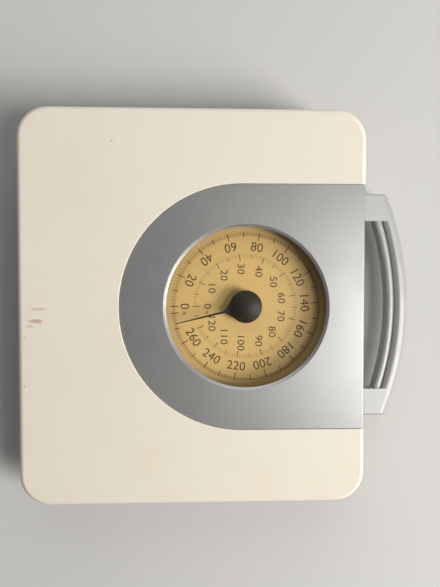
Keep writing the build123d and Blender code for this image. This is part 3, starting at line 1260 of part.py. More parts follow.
with BuildPart() as inner_roll_cut:
    with BuildSketch(Plane.YZ):
        with Locations((INNER_GROOVE_Y - INNER_ROLL, (GROOVE_FLOOR + ROLL_CUT_TOP) / 2)):
            Rectangle(2 * INNER_ROLL, ROLL_CUT_TOP - GROOVE_FLOOR)
        with Locations((INNER_GROOVE_Y - INNER_ROLL / 2, GROOVE_FLOOR)):
            Ellipse(INNER_ROLL / 2, INNER_RISE, mode=Mode.SUBTRACT)
    revolve(axis=Axis((0, OPENING_ARC_Y, 0), (0, 0, 1)))
    block(*ROLL_BAY, mode=Mode.INTERSECT)

with BuildPart() as handle:
    with BuildSketch(Plane.XY.offset(HANDLE_UNDER)):
        with BuildLine():
            ThreePointArc((-HANDLE_HALF, CORNER_OUT), (0, BAR_OUT), (HANDLE_HALF, CORNER_OUT))
            Polyline(
                (HANDLE_HALF, CORNER_OUT),
                (HANDLE_HALF, BASE_FRONT),
                (OPENING_HALF, BASE_FRONT),
                (OPENING_HALF, BAR_IN - OPENING_SAG),
            )
            ThreePointArc(
                (OPENING_HALF, BAR_IN - OPENING_SAG),
                (0, BAR_IN),
                (-OPENING_HALF, BAR_IN - OPENING_SAG),
            )
            Polyline(
                (-OPENING_HALF, BAR_IN - OPENING_SAG),
                (-OPENING_HALF, BASE_FRONT),
                (-HANDLE_HALF, BASE_FRONT),
                (-HANDLE_HALF, CORNER_OUT),
            )
        make_face()
    extrude(amount=HANDLE_HEIGHT)
    fillet(handle.edges().filter_by(GeomType.CIRCLE).group_by(Axis.Z)[-1].sort_by(Axis.Y)[-1], RIM_R)
    fillet(handle.edges().filter_by(GeomType.CIRCLE).group_by(Axis.Z)[0].sort_by(Axis.Y)[-1], RIM_UNDER_R)
    fillet(handle.edges().filter_by(Axis.Z).group_by(Axis.Y)[-1], HANDLE_CORNER_R)
    with BuildSketch(Plane.XY.offset(GROOVE_FLOOR)):
        with BuildLine():
            ThreePointArc(
                (-OPENING_HALF, RIM_AT_OPENING - OUTER_ROLL),
                (0, OUTER_GROOVE_Y),
                (OPENING_HALF, RIM_AT_OPENING - OUTER_ROLL),
            )
            Line(
                (OPENING_HALF, RIM_AT_OPENING - OUTER_ROLL),
                (OPENING_HALF, INNER_GROOVE_Y - OPENING_SAG),
            )
            ThreePointArc(
                (OPENING_HALF, INNER_GROOVE_Y - OPENING_SAG),
                (0, INNER_GROOVE_Y),
                (-OPENING_HALF, INNER_GROOVE_Y - OPENING_SAG),
            )
            Line(
                (-OPENING_HALF, INNER_GROOVE_Y - OPENING_SAG),
                (-OPENING_HALF, RIM_AT_OPENING - OUTER_ROLL),
            )
        make_face()
    extrude(amount=GROOVE_DEPTH, mode=Mode.SUBTRACT)
    add(outer_roll_cut.part, mode=Mode.SUBTRACT)
    add(inner_roll_cut.part, mode=Mode.SUBTRACT)
    screw_span = (BASE_FRONT, BASE_FRONT + HANDLE_SCREW_BITE)
    for x, z in HANDLE_SCREW_PLACES:
        rod_y(x, z, HANDLE_SCREW_R + PRESS_GAP, screw_span, mode=Mode.SUBTRACT)
write(handle, "handle")

with BuildPart() as handle_screws:
    for x, z in HANDLE_SCREW_PLACES:
        rod_y(x, z, HANDLE_SCREW_R, (WALL_IN, BASE_FRONT + HANDLE_SCREW_BITE - PRESS_GAP))
        rod_y(x, z, HANDLE_SCREW_HEAD_R, (WALL_IN - HANDLE_SCREW_HEAD_T, WALL_IN))
write(handle_screws, "handle_screws")

# Base pan: a pressed tray with the holes for what is fixed to it

FOOT_PLACES = [(side * FOOT_X, PLATFORM_Y + end * FOOT_Y) for side in (-1, 1) for end in (-1, 1)]

with BuildPart() as base_pan:
    with BuildSketch(Plane.XY.offset(FOOT_HEIGHT)):
        with Locations((0, PLATFORM_Y)):
            RectangleRounded(BASE_WIDTH, BASE_DEPTH, BASE_CORNER_R)
    extrude(amount=BASE_HEIGHT)
    fillet(base_pan.faces().sort_by(Axis.Z)[0].edges(), BASE_EDGE_R)
    offset(amount=-BASE_SHEET, openings=base_pan.faces().sort_by(Axis.Z)[-1])
    for inset in BEAD_INSETS:
        with BuildSketch(Plane.XY.offset(FLOOR)):
            with Locations((0, REAR_Y + inset)):
                SlotOverall(BEAD_LENGTH, BEAD_WIDTH)
        extrude(amount=BEAD_DEPTH)
        with BuildSketch(Plane.XY.offset(FOOT_HEIGHT)):
            with Locations((0, REAR_Y + inset)):
                SlotOverall(BEAD_LENGTH - 2 * BASE_SHEET, BEAD_WIDTH - 2 * BASE_SHEET)
        extrude(amount=BEAD_DEPTH, mode=Mode.SUBTRACT)
    floor_span = (FOOT_HEIGHT, FLOOR)
    wall_span = (WALL_IN, BASE_FRONT)
    for x, y in FOOT_PLACES:
        rod_z(x, y, FOOT_PLUG_R + PRESS_GAP, floor_span, mode=Mode.SUBTRACT)
    for x, y in POST_RIVET_PLACES + CRANK_RIVET_PLACES:
        rod_z(x, y, RIVET_R + PRESS_GAP, floor_span, mode=Mode.SUBTRACT)
    for x, y in PILLAR_PLACES:
        rod_z(x, y, PILLAR_SCREW_R + PRESS_GAP, floor_span, mode=Mode.SUBTRACT)
    rod_z(0, DIAL_Y, LOWER_BUSH_TENON_R + PRESS_GAP, floor_span, mode=Mode.SUBTRACT)
    for x, z in HANDLE_SCREW_PLACES:
        rod_y(x, z, HANDLE_SCREW_R + PRESS_GAP, wall_span, mode=Mode.SUBTRACT)
    for x, z in PLATE_RIVET_PLACES:
        rod_y(x, z, RIVET_R + PRESS_GAP, wall_span, mode=Mode.SUBTRACT)
    block((ZERO_X - SLOT_HALF, ZERO_X + SLOT_HALF), wall_span, WHEEL_SLOT, mode=Mode.SUBTRACT)
write(base_pan, "base_pan")

with BuildPart() as floor_rivets:
    for places, plate_t in ((POST_RIVET_PLACES, BRACKET_T), (CRANK_RIVET_PLACES, CRANK_FLOOR_T)):
        for x, y in places:
            rod_z(x, y, RIVET_R, (FOOT_HEIGHT, FLOOR + plate_t))
            rod_z(x, y, RIVET_HEAD_R, (FOOT_HEIGHT - RIVET_HEAD_T, FOOT_HEIGHT))
            rod_z(x, y, RIVET_HEAD_R, (FLOOR + plate_t, FLOOR + plate_t + RIVET_HEAD_T))
write(floor_rivets, "floor_rivets")

FOOT_NAMES = ("rear_left", "front_left", "rear_right", "front_right")
for foot_name, (foot_x, foot_y) in zip(FOOT_NAMES, FOOT_PLACES):
    with BuildPart() as foot:
        rod_z(foot_x, foot_y, FOOT_R, (0, FOOT_HEIGHT))
        fillet(foot.faces().sort_by(Axis.Z)[0].edges(), FOOT_EDGE_R)
        rod_z(foot_x, foot_y, FOOT_PLUG_R, (FOOT_HEIGHT, FLOOR))
        rod_z(foot_x, foot_y, FOOT_HEAD_R, (FLOOR, FLOOR + FOOT_HEAD_T))
    write(foot, f"foot_{foot_name}")
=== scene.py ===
"""Looks of a mechanical bathroom scale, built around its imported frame."""

import logging
import math
from dataclasses import dataclass
from enum import Enum
from typing import Any, Iterable, Optional, Sequence, Union

import bpy
from mathutils import Euler, Matrix, Vector


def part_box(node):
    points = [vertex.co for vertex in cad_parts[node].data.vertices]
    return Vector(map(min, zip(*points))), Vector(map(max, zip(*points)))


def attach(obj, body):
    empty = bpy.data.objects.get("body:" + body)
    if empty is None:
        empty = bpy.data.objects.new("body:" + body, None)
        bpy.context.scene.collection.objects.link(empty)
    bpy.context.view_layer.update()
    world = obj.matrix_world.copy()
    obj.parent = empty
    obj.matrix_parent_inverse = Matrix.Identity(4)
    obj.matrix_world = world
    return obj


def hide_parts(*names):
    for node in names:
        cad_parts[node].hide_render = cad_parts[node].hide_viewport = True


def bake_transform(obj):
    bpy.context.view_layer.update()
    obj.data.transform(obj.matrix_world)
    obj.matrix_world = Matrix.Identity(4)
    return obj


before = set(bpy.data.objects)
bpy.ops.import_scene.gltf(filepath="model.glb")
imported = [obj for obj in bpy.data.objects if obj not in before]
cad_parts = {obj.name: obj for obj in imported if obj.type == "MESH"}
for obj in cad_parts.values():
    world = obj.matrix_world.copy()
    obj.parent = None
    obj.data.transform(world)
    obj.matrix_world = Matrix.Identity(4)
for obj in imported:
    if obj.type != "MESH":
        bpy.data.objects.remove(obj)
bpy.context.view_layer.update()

MM = 0.001
QUARTER_TURN = math.radians(90)
MIX_A, MIX_B, MIX_RESULT = 6, 7, 2
LOG = logging.getLogger("bathroom_scale")

CORNERS = [f"{end}_{side}" for end in ("rear", "front") for side in ("left", "right")]

Colour = tuple[float, float, float]
Place = tuple[float, float, float]

WARM: Colour = (1.0, 0.985, 0.96)
COOL: Colour = (0.97, 0.985, 1.0)


class Reading(Enum):
    """How a printed figure stands on the dial."""

    UPRIGHT = "upright"
    AROUND = "around"


class Grain(Enum):
    """The way a metal's brush marks run."""

    ALONG_X = (0.06, 1.0, 1.0)
    ALONG_Y = (1.0, 0.06, 1.0)
    ROUND = (1.0, 1.0, 1.0)


# Shaders


class Wire:
    """A node's output that takes part in arithmetic."""

    def __init__(self, shader: "Shader", socket: bpy.types.NodeSocket) -> None:
        """Keeps the shader that owns the socket, and the socket."""
        self.shader = shader
        self.socket = socket

    def _math(self, operation: str, first: Any, second: Any) -> "Wire":
        """Adds one Math node for an operation on two values.

        Args:
            operation: The Math node's operation.
            first: A wire or a number.
            second: A wire or a number.

        Returns:
            The result's wire.
        """
        return self.shader.node("ShaderNodeMath", {"operation": operation}, {0: first, 1: second})

    def __add__(self, other: Any) -> "Wire":
        """Adds."""
        return self._math("ADD", self, other)

    __radd__ = __add__

    def __mul__(self, other: Any) -> "Wire":
        """Multiplies."""
        return self._math("MULTIPLY", self, other)

    __rmul__ = __mul__

    def __sub__(self, other: Any) -> "Wire":
        """Subtracts."""
        return self._math("SUBTRACT", self, other)

    def __rsub__(self, other: Any) -> "Wire":
        """Subtracts from a number."""
        return self._math("SUBTRACT", other, self)

    def __truediv__(self, other: Any) -> "Wire":
        """Divides."""
        return self._math("DIVIDE", self, other)

    def highest(self, other: Any) -> "Wire":
        """The larger of two values."""
        return self._math("MAXIMUM", self, other)

    def step(self, low: float, high: float) -> "Wire":
        """A smooth step from 0 at low to 1 at high.

        Args:
            low: Where the step starts.
            high: Where it ends.

        Returns:
            The step's wire.
        """
        return self.shader.node(
            "ShaderNodeMapRange",
            {"interpolation_type": "SMOOTHSTEP"},
            {"Value": self, "From Min": low, "From Max": high},
        )


class Shader:
    """A material's node tree, with one method that adds any node."""

    def __init__(self, name: str) -> None:
        """Makes a material with its Principled node.

        Args:
            name: The material's name.
        """
        self.material = bpy.data.materials.new(name)
        self.material.use_nodes = True
        self.tree = self.material.node_tree
        self.surface = self.tree.nodes["Principled BSDF"]
        self._place: Optional[Wire] = None

    def node(
        self,
        kind: str,
        settings: Optional[dict[str, Any]] = None,
        inputs: Optional[dict[Union[int, str], Any]] = None,
        out: Union[int, str] = 0,
    ) -> Wire:
        """Adds a node, sets it up and links what feeds it.

        Args:
            kind: The node's type.
            settings: Its properties, set first.
            inputs: Numbers, colours or wires for its sockets.
            out: The output that is wanted.

        Returns:
            The output's wire.
        """
        made = self.tree.nodes.new(kind)
        for key, value in (settings or {}).items():
            setattr(made, key, value)
        for key, value in (inputs or {}).items():
            self._fill(made.inputs[key], value)
        return Wire(self, made.outputs[out])

    def _fill(self, socket: bpy.types.NodeSocket, value: Any) -> None:
        """Links a wire to a socket, or sets a constant on it.

        Args:
            socket: The socket to fill.
            value: A wire, a number, a colour or a vector.
        """
        if isinstance(value, Wire):
            self.tree.links.new(value.socket, socket)
        elif socket.type == "RGBA" and len(value) == 3:
            socket.default_value = (*value, 1.0)
        else:
            socket.default_value = value

    def feed(self, **sockets: Any) -> None:
        """Fills sockets of the Principled node, with _ for a space in the name."""
        for name, value in sockets.items():
            self._fill(self.surface.inputs[name.replace("_", " ")], value)

    def place(self) -> Wire:
        """Gives the object coordinates, from one node that all share.

        Returns:
            The coordinates' wire, in metres.
        """
        if self._place is None:
            self._place = self.node("ShaderNodeTexCoord", out="Object")
        return self._place

    def axis(self, name: str) -> Wire:
        """One object coordinate, named X, Y or Z."""
        return self.node("ShaderNodeSeparateXYZ", {}, {0: self.place()}, name)

    def moved(self, centre: Place, stretch: Place, turn: float = 0.0) -> Wire:
        """Object coordinates about a centre, stretched and turned.

        Args:
            centre: The new origin, in metres.
            stretch: A factor for each axis.
            turn: The turn about Z, in radians.

        Returns:
            The coordinates' wire.
        """
        shifted = self.node("ShaderNodeVectorMath", {"operation": "SUBTRACT"}, {0: self.place(), 1: centre})
        return self.node(
            "ShaderNodeMapping",
            {"vector_type": "POINT"},
            {"Vector": shifted, "Rotation": (0.0, 0.0, turn), "Scale": stretch},
        )

    def length(self, vector: Wire) -> Wire:
        """How long a vector is."""
        return self.node("ShaderNodeVectorMath", {"operation": "LENGTH"}, {0: vector}, "Value")

    def noise(self, scale: float, detail: float = 3.0, where: Optional[Wire] = None) -> Wire:
        """Noise from 0 to 1.

        Args:
            scale: Cells in a metre.
            detail: The number of octaves.
            where: The coordinates, or none for the object's own.

        Returns:
            The noise's wire.
        """
        return self.node(
            "ShaderNodeTexNoise",
            {"noise_dimensions": "3D"},
            {"Vector": where or self.place(), "Scale": scale, "Detail": detail, "Roughness": 0.55},
            "Fac",
        )

    def cells(self, scale: float, out: str = "Distance") -> Wire:
        """Voronoi cells, by distance or by random colour."""
        return self.node("ShaderNodeTexVoronoi", {}, {"Vector": self.place(), "Scale": scale}, out)

    def patches(self, scale: float) -> Wire:
        """Cells that each have a random value from 0 to 1."""
        return self.node("ShaderNodeSeparateColor", {}, {0: self.cells(scale, "Color")}, 0)

    def blend(self, mask: Union[Wire, float], first: Any, second: Any) -> Wire:
        """Mixes two colours.

        Args:
            mask: 0 for the first colour, 1 for the second.
            first: A colour or its wire.
            second: A colour or its wire.

        Returns:
            The mixed colour's wire.
        """
        inputs = {"Factor": mask, MIX_A: first, MIX_B: second}
        return self.node("ShaderNodeMix", {"data_type": "RGBA"}, inputs, MIX_RESULT)

    def bump(self, height: Wire, depth: float, strength: float = 1.0) -> None:
        """Feeds the surface's normal from a height.

        Args:
            height: The height's wire, from 0 to 1.
            depth: What a height of 1 stands for, in metres.
            strength: How strongly it shows.
        """
        normal = self.node(
            "ShaderNodeBump", {}, {"Strength": strength, "Distance": depth, "Height": height}, "Normal"
        )
        self.feed(Normal=normal)


# Finishes


@dataclass(frozen=True)
class Scuff:
    """A mark left on the enamel: its middle and half sizes in millimetres, and its turn in degrees."""

    x: float
    y: float
    along: float
    across: float
    turn: float
    strength: float
    ragged: float = 420.0

    def mask(self, shader: Shader) -> Wire:
        """Where the mark lies.

        Args:
            shader: The enamel's shader.

        Returns:
            A wire from 0 to the mark's strength.
        """
        spot = shader.moved(
            (self.x * MM, self.y * MM, 0.0),
            (1 / (self.across * MM), 1 / (self.along * MM), 0.0),
            math.radians(self.turn),
        )
        broken = shader.noise(self.ragged, 4.0)
        return (1.0 - (shader.length(spot) + (broken - 0.5) * 1.3).step(0.45, 1.0)) * self.strength


@dataclass(frozen=True)
class Enamel:
    """Glossy stove enamel on pressed steel, with a few marks of use.

    Heights and depths are in metres, and scales are in cells to a metre, as in every finish.
    """

    name: str
    colour: Colour
    aged: Colour
    grime: Colour
    roughness: float
    stain: Colour = (0.42, 0.23, 0.17)
    scuffs: tuple[Scuff, ...] = ()
    grime_height: float = 0.029
    grime_fade: float = 0.005
    cloud_scale: float = 7.0
    fine_scale: float = 60.0
    speck_scale: float = 95.0
    patch_scale: float = 31.0
    ripple_scale: float = 330.0
    ripple_depth: float = 0.00006
    specular: float = 0.16

    def material(self) -> bpy.types.Material:
        """Builds the enamel.

        Returns:
            The material.
        """
        s = Shader(self.name)
        cloud = s.noise(self.cloud_scale, 2.0)
        fine = s.noise(self.fine_scale, 5.0)
        colour = s.blend((cloud * 0.7 + fine * 0.3).step(0.38, 0.72), self.colour, self.aged)
        low = 1.0 - s.axis("Z").step(self.grime_height, self.grime_height + self.grime_fade)
        colour = s.blend(low * fine.step(0.35, 0.75) * 0.5, colour, self.grime)
        patches = s.noise(self.patch_scale, 2.0).step(0.61, 0.70)
        specks = (1.0 - s.cells(self.speck_scale).step(0.035, 0.07)) * patches
        colour = s.blend(specks * 0.55, colour, self.grime)
        worn: Optional[Wire] = None
        for scuff in self.scuffs:
            mask = scuff.mask(s)
            worn = mask if worn is None else worn.highest(mask)
        if worn is not None:
            colour = s.blend(worn, colour, self.stain)
        s.feed(
            Base_Color=colour,
            Roughness=fine * 0.10 + self.roughness + specks * 0.2,
            Specular_IOR_Level=self.specular,
        )
        s.bump(s.noise(self.ripple_scale, 2.0), self.ripple_depth, 0.35)
        return s.material


@dataclass(frozen=True)
class SilverLacquer:
    """Silver lacquer over moulded plastic: fine flakes under a soft gloss."""

    name: str
    colour: Colour
    dull: Colour
    roughness: float
    metal: float
    flake_scale: float = 2600.0
    cloud_scale: float = 11.0
    rub_scale: float = 46.0
    ripple_scale: float = 700.0
    ripple_depth: float = 0.00002

    def material(self) -> bpy.types.Material:
        """Builds the lacquer.

        Returns:
            The material.
        """
        s = Shader(self.name)
        sparkle = s.patches(self.flake_scale)
        cloud = s.noise(self.cloud_scale, 3.0)
        rubbed = s.noise(self.rub_scale, 5.0)
        colour = s.blend(sparkle * 0.35 + cloud * 0.35 + rubbed * 0.2, self.colour, self.dull)
        s.feed(
            Base_Color=colour,
            Roughness=rubbed * 0.10 + sparkle * 0.05 + (self.roughness - 0.06),
            Metallic=self.metal,
        )
        s.bump(sparkle * 0.5 + s.noise(self.ripple_scale, 2.0) * 0.5, self.ripple_depth, 0.25)
        return s.material


@dataclass(frozen=True)
class Metal:
    """Plated, drawn or turned metal with brush marks, and spangles where their scale is given."""

    name: str
    colour: Colour
    dull: Colour
    roughness: float
    grain: Grain = Grain.ALONG_X
    spangle_scale: float = 0.0
    brush_scale: float = 900.0
    brush_depth: float = 0.00003
    cloud_scale: float = 55.0

    def material(self) -> bpy.types.Material:
        """Builds the metal.

        Returns:
            The material.
        """
        s = Shader(self.name)
        brushed = s.noise(self.brush_scale, 3.0, s.moved((0.0, 0.0, 0.0), self.grain.value))
        cloud = s.noise(self.cloud_scale, 4.0)
        mask = cloud * 0.6 + brushed * 0.4
        if self.spangle_scale:
            mask = mask * 0.55 + s.patches(self.spangle_scale) * 0.45
        s.feed(
            Base_Color=s.blend(mask.step(0.25, 0.8), self.colour, self.dull),
            Roughness=mask * 0.22 + (self.roughness - 0.08),
            Metallic=1.0,
        )
        s.bump(brushed, self.brush_depth, 0.3)
        return s.material


@dataclass(frozen=True)
class Moulding:
    """Moulded plastic or rubber with a fine grain and dust in it."""

    name: str
    colour: Colour
    dust: Colour
    grain_scale: float
    roughness: float = 0.5
    grain_depth: float = 0.00004
    dustiness: float = 0.4
    cloud_scale: float = 38.0

    def material(self) -> bpy.types.Material:
        """Builds the moulding.

        Returns:
            The material.
        """
        s = Shader(self.name)
        grain = s.noise(self.grain_scale, 3.0)
        cloud = s.noise(self.cloud_scale, 5.0)
        s.feed(
            Base_Color=s.blend(cloud.step(0.42, 0.85) * self.dustiness, self.colour, self.dust),
            Roughness=cloud * 0.16 + grain * 0.06 + (self.roughness - 0.1),
        )
        s.bump(grain, self.grain_depth, 0.6)
        return s.material


@dataclass(frozen=True)
class DialPaper:
    """A printed dial that has yellowed, browner towards its rim."""

    name: str
    colour: Colour
    pale: Colour
    brown: Colour
    centre: Place
    rim: float
    cloud_scale: float = 24.0
    fibre_scale: float = 420.0
    fibre_depth: float = 0.00002
    spot_scale: float = 150.0
    patch_scale: float = 52.0

    def material(self) -> bpy.types.Material:
        """Builds the dial's ground.

        Returns:
            The material.
        """
        s = Shader(self.name)
        out = s.length(s.moved(self.centre, (1.0, 1.0, 0.0))) / self.rim
        cloud = s.noise(self.cloud_scale, 4.0)
        fibre = s.noise(self.fibre_scale, 3.0)
        colour = s.blend(cloud.step(0.35, 0.75) * 0.6 + fibre * 0.15, self.colour, self.pale)
        edge = (out + (cloud - 0.5) * 0.22).step(0.78, 1.08)
        patches = s.noise(self.patch_scale, 1.0).step(0.58, 0.68)
        spots = (1.0 - s.cells(self.spot_scale).step(0.05, 0.12)) * patches
        colour = s.blend(edge * 0.75, colour, self.brown)
        colour = s.blend(spots * 0.3, colour, self.brown)
        s.feed(Base_Color=colour, Roughness=fibre * 0.12 + 0.48)
        s.bump(fibre, self.fibre_depth, 0.25)
        return s.material


@dataclass(frozen=True)
class Ink:
    """Printed ink, a little uneven."""

    name: str
    colour: Colour
    thin: Colour
    wear_scale: float = 650.0

    def material(self) -> bpy.types.Material:
        """Builds the ink.

        Returns:
            The material.
        """
        s = Shader(self.name)
        worn = s.noise(self.wear_scale, 4.0)
        s.feed(
            Base_Color=s.blend(worn.step(0.35, 0.8), self.colour, self.thin),
            Roughness=worn * 0.15 + 0.45,
        )
        return s.material


@dataclass(frozen=True)
class ClearMoulding:
    """A clear lens: a thin mirror gloss, light dust, and painted shade: a dark ring that stands in for the
    darkening seen at its moulded brim.

    The gloss, the dust and the painted shade ring are shares of cover, and the ring's places are shares of
    the rim.
    """

    name: str
    gloss: float
    dust: float
    line: float
    centre: Place
    rim: float
    line_start: float = 0.850
    line_peak: float = 0.885
    line_end: float = 0.920
    shine: Colour = (1.0, 1.0, 0.98)
    shade: Colour = (0.0, 0.0, 0.0)
    dust_scale: float = 260.0
    wave_scale: float = 18.0
    wave_depth: float = 0.0003

    def material(self) -> bpy.types.Material:
        """Builds the clear plastic.

        Returns:
            The material.
        """
        s = Shader(self.name)
        dust = s.noise(self.dust_scale, 4.0).step(0.5, 0.85)
        out = s.length(s.moved(self.centre, (1.0, 1.0, 0.0))) / self.rim
        # Painted shade: a dark, more opaque ring on the lens, in place of the darkening that its brim
        # shows.
        line = out.step(self.line_start, self.line_peak) * (1.0 - out.step(self.line_peak, self.line_end))
        s.feed(
            Base_Color=s.blend(line, self.shine, self.shade),
            Metallic=1.0,
            Roughness=dust * 0.10 + 0.03,
            Alpha=dust * self.dust + line * self.line + self.gloss,
        )
        s.bump(s.noise(self.wave_scale, 1.0), self.wave_depth, 0.25)
        s.material.surface_render_method = "BLENDED"
        return s.material


# Modelling help


class Bench:
    """Operators that act on one piece at a time."""

    @staticmethod
    def clear() -> None:
        """Deselects everything."""
        if bpy.context.object and bpy.context.object.mode != "OBJECT":
            bpy.ops.object.mode_set(mode="OBJECT")
        bpy.ops.object.select_all(action="DESELECT")

    @staticmethod
    def pick(pieces: Iterable[bpy.types.Object]) -> None:
        """Selects these pieces alone and makes the last one active.

        Args:
            pieces: The pieces to select.
        """
        Bench.clear()
        for piece in pieces:
            piece.select_set(True)
            bpy.context.view_layer.objects.active = piece

    @staticmethod
    def open() -> None:
        """Opens the active piece in edit mode, with all of it selected."""
        bpy.ops.object.mode_set(mode="EDIT")
        bpy.ops.mesh.select_all(action="SELECT")

    @staticmethod
    def close() -> None:
        """Leaves edit mode."""
        bpy.ops.object.mode_set(mode="OBJECT")

    @staticmethod
    def extrude(rise: float) -> None:
        """Extrudes what is selected along Z, by a rise in metres."""
        bpy.ops.mesh.extrude_region_move(TRANSFORM_OT_translate={"value": (0.0, 0.0, rise)})

    @staticmethod
    def smooth(angle: float) -> None:
        """Shades the active piece smooth, apart from edges sharper than an angle in degrees."""
        bpy.ops.object.shade_smooth_by_angle(angle=math.radians(angle))

    @staticmethod
    def join(pieces: Sequence[bpy.types.Object], name: str) -> bpy.types.Object:
        """Joins pieces into one, whose place goes into its mesh.

        Args:
            pieces: The pieces to join.
            name: The joined piece's name.

        Returns:
            The joined piece.
        """
        Bench.pick(pieces)
        if len(pieces) > 1:
            bpy.ops.object.join()
        piece = bpy.context.object
        bpy.ops.object.transform_apply(location=True, rotation=True, scale=True)
        Bench.open()
        bpy.ops.mesh.normals_make_consistent(inside=False)
        Bench.close()
        piece.name = name
        piece.data.name = name
        return piece

    @staticmethod
    def coat(piece: bpy.types.Object, material: bpy.types.Material, slot: str) -> None:
        """Gives a piece its material.

        Args:
            piece: The piece.
            material: Its material.
            slot: Not used.
        """
        piece.data.materials.clear()
        piece.data.materials.append(material)
        LOG.info("made %s, %d faces", piece.name, len(piece.data.polygons))

    @staticmethod
    def finish(piece: bpy.types.Object, material: bpy.types.Material, body: str, slot: str) -> None:
        """Gives a piece its material and its body.

        Args:
            piece: The piece.
            material: Its material.
            body: The body it moves with.
            slot: Not used.
        """
        Bench.coat(piece, material, slot)
        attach(piece, body)

    @staticmethod
    def dress(material: bpy.types.Material, *names: str) -> None:
        """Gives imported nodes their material.

        Args:
            material: The material.
            names: The nodes' names.
        """
        for name in names:
            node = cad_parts[name]
            node.data.materials.clear()
            node.data.materials.append(material)
            LOG.info("dressed %s with %s", name, material.name)


# Sub-assemblies


@dataclass
class PlatformTop:
    """The platform cover with what hangs under it."""

    enamel: Enamel = Enamel(
        "cream_enamel",
        colour=(0.815, 0.755, 0.640),
        aged=(0.785, 0.715, 0.585),
        grime=(0.33, 0.27, 0.19),
        roughness=0.30,
        scuffs=(
            Scuff(1.1, -151.9, 7.5, 1.6, 4.0, 0.40),
            Scuff(11.0, -153.7, 7.0, 2.4, -3.0, 0.62),
            Scuff(15.2, -158.6, 4.0, 1.4, 6.0, 0.35),
            Scuff(24.5, -163.0, 2.2, 1.2, 0.0, 0.30),
            Scuff(-136.8, -91.0, 1.1, 1.0, 0.0, 0.75),
            Scuff(65.1, -163.7, 1.3, 1.1, 0.0, 0.70),
        ),
    )
    plated: Metal = Metal(
        "plated_pressing",
        colour=(0.60, 0.60, 0.61),
        dull=(0.40, 0.40, 0.41),
        roughness=0.38,
        spangle_scale=190.0,
    )

    def dress(self) -> None:
        """Dresses the cover, its stiffeners and its bearings."""
        Bench.dress(self.enamel.material(), "platform_cover")
        bearings = [f"platform_bearing_{corner}" for corner in CORNERS]
        Bench.dress(self.plated.material(), "platform_stiffener_1", "platform_stiffener_2", *bearings)


@dataclass
class DialPanel:
    """The silver surround with its lens, seal and fixings. Sizes are in millimetres."""

    window: float = 69.0
    lip_width: float = 1.4
    lip_below: float = 0.75
    lip_slope: float = 0.80
    lip_wall: float = 0.33
    lip_overlap: float = 0.05
    lip_sides: int = 160
    merge: float = 0.01
    sharp: float = 30.0
    lacquer: SilverLacquer = SilverLacquer(
        "panel_lacquer", colour=(0.60, 0.60, 0.588), dull=(0.51, 0.51, 0.498), roughness=0.42, metal=0.9
    )
    seal: Moulding = Moulding(
        "seal_rubber", colour=(0.03, 0.03, 0.03), dust=(0.10, 0.09, 0.08), grain_scale=800.0, roughness=0.75
    )
    ring: Moulding = Moulding(
        "ring_black",
        colour=(0.045, 0.043, 0.038),
        dust=(0.12, 0.11, 0.09),
        grain_scale=900.0,
        grain_depth=0.00003,
        dustiness=0.3,
    )
    nuts: Metal = Metal("nut_steel", colour=(0.55, 0.55, 0.56), dull=(0.34, 0.34, 0.35), roughness=0.36)

    def __post_init__(self) -> None:
        """Takes the window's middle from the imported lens."""
        low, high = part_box("lens")
        self.middle = (low + high) / 2

    def lip(self, material: bpy.types.Material) -> None:
        """Models the sloped lip that runs down from the window's edge to the lens.

        Args:
            material: The surround's lacquer.
        """
        outer = (self.window + self.lip_overlap) * MM
        narrow = (self.window - self.lip_width) * MM / outer
        place = self.middle.copy()
        place.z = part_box("dial_surround")[1].z - self.lip_below * MM
        slope, wall = self.lip_slope * MM, self.lip_wall * MM
        Bench.clear()
        bpy.ops.mesh.primitive_circle_add(vertices=self.lip_sides, radius=outer, location=place)
        ring = bpy.context.object
        Bench.open()
        Bench.extrude(-slope)
        bpy.ops.transform.resize(value=(narrow, narrow, 1.0))
        Bench.extrude(-wall)
        Bench.extrude(0.0)
        bpy.ops.transform.resize(value=(1 / narrow, 1 / narrow, 1.0))
        Bench.extrude(slope + wall)
        bpy.ops.mesh.select_all(action="SELECT")
        bpy.ops.mesh.remove_doubles(threshold=self.merge * MM)
        Bench.close()
        Bench.join([ring], "window_lip")
        Bench.smooth(self.sharp)
        Bench.finish(ring, material, "platform", "silver_panel")

    def dress(self) -> None:
        """Dresses the surround, the lens and what holds them."""
        middle, rim = tuple(self.middle), self.window * MM
        # The lens gets a painted shade ring, a dark ring in its material.
        clear = ClearMoulding("clear_lens", gloss=0.045, dust=0.03, line=0.12, centre=middle, rim=rim)
        silver = self.lacquer.material()
        self.lip(silver)
        Bench.dress(silver, "dial_surround")
        Bench.dress(clear.material(), "lens")
        Bench.dress(self.seal.material(), "lens_gasket")
        Bench.dress(self.ring.material(), "lens_ring")
        Bench.dress(self.nuts.material(), "push_nuts")


@dataclass(frozen=True)
class TickRing:
    """One size of mark, repeated round the dial at even steps, in millimetres and degrees."""

    name: str
    inner: float
    outer: float
    width: float
    first: Sequence[float]
    step: float
    count: int


@dataclass(frozen=True)
class Figures:
    """A ring of printed numbers, in millimetres and degrees.

    The numbers from a share of the last one onwards stand short of their marks by the lag.
    """

    name: str
    radius: float
    height: float
    step: int
    last: int
    turn: float
    reading: Reading
    stretch: float = 1.0
    lag: float = 0.0
    late_share: float = 0.75

    def place(self, number: int) -> float:
        """Gives a number's turn from the zero."""
        late = number >= self.late_share * self.last
        return number * self.turn - (self.lag if late else 0.0)


@dataclass(frozen=True)
class UnitMark:
    """A unit's name, printed beside its zero, in millimetres."""

    text: str
    height: float
    radius: float
    side: float


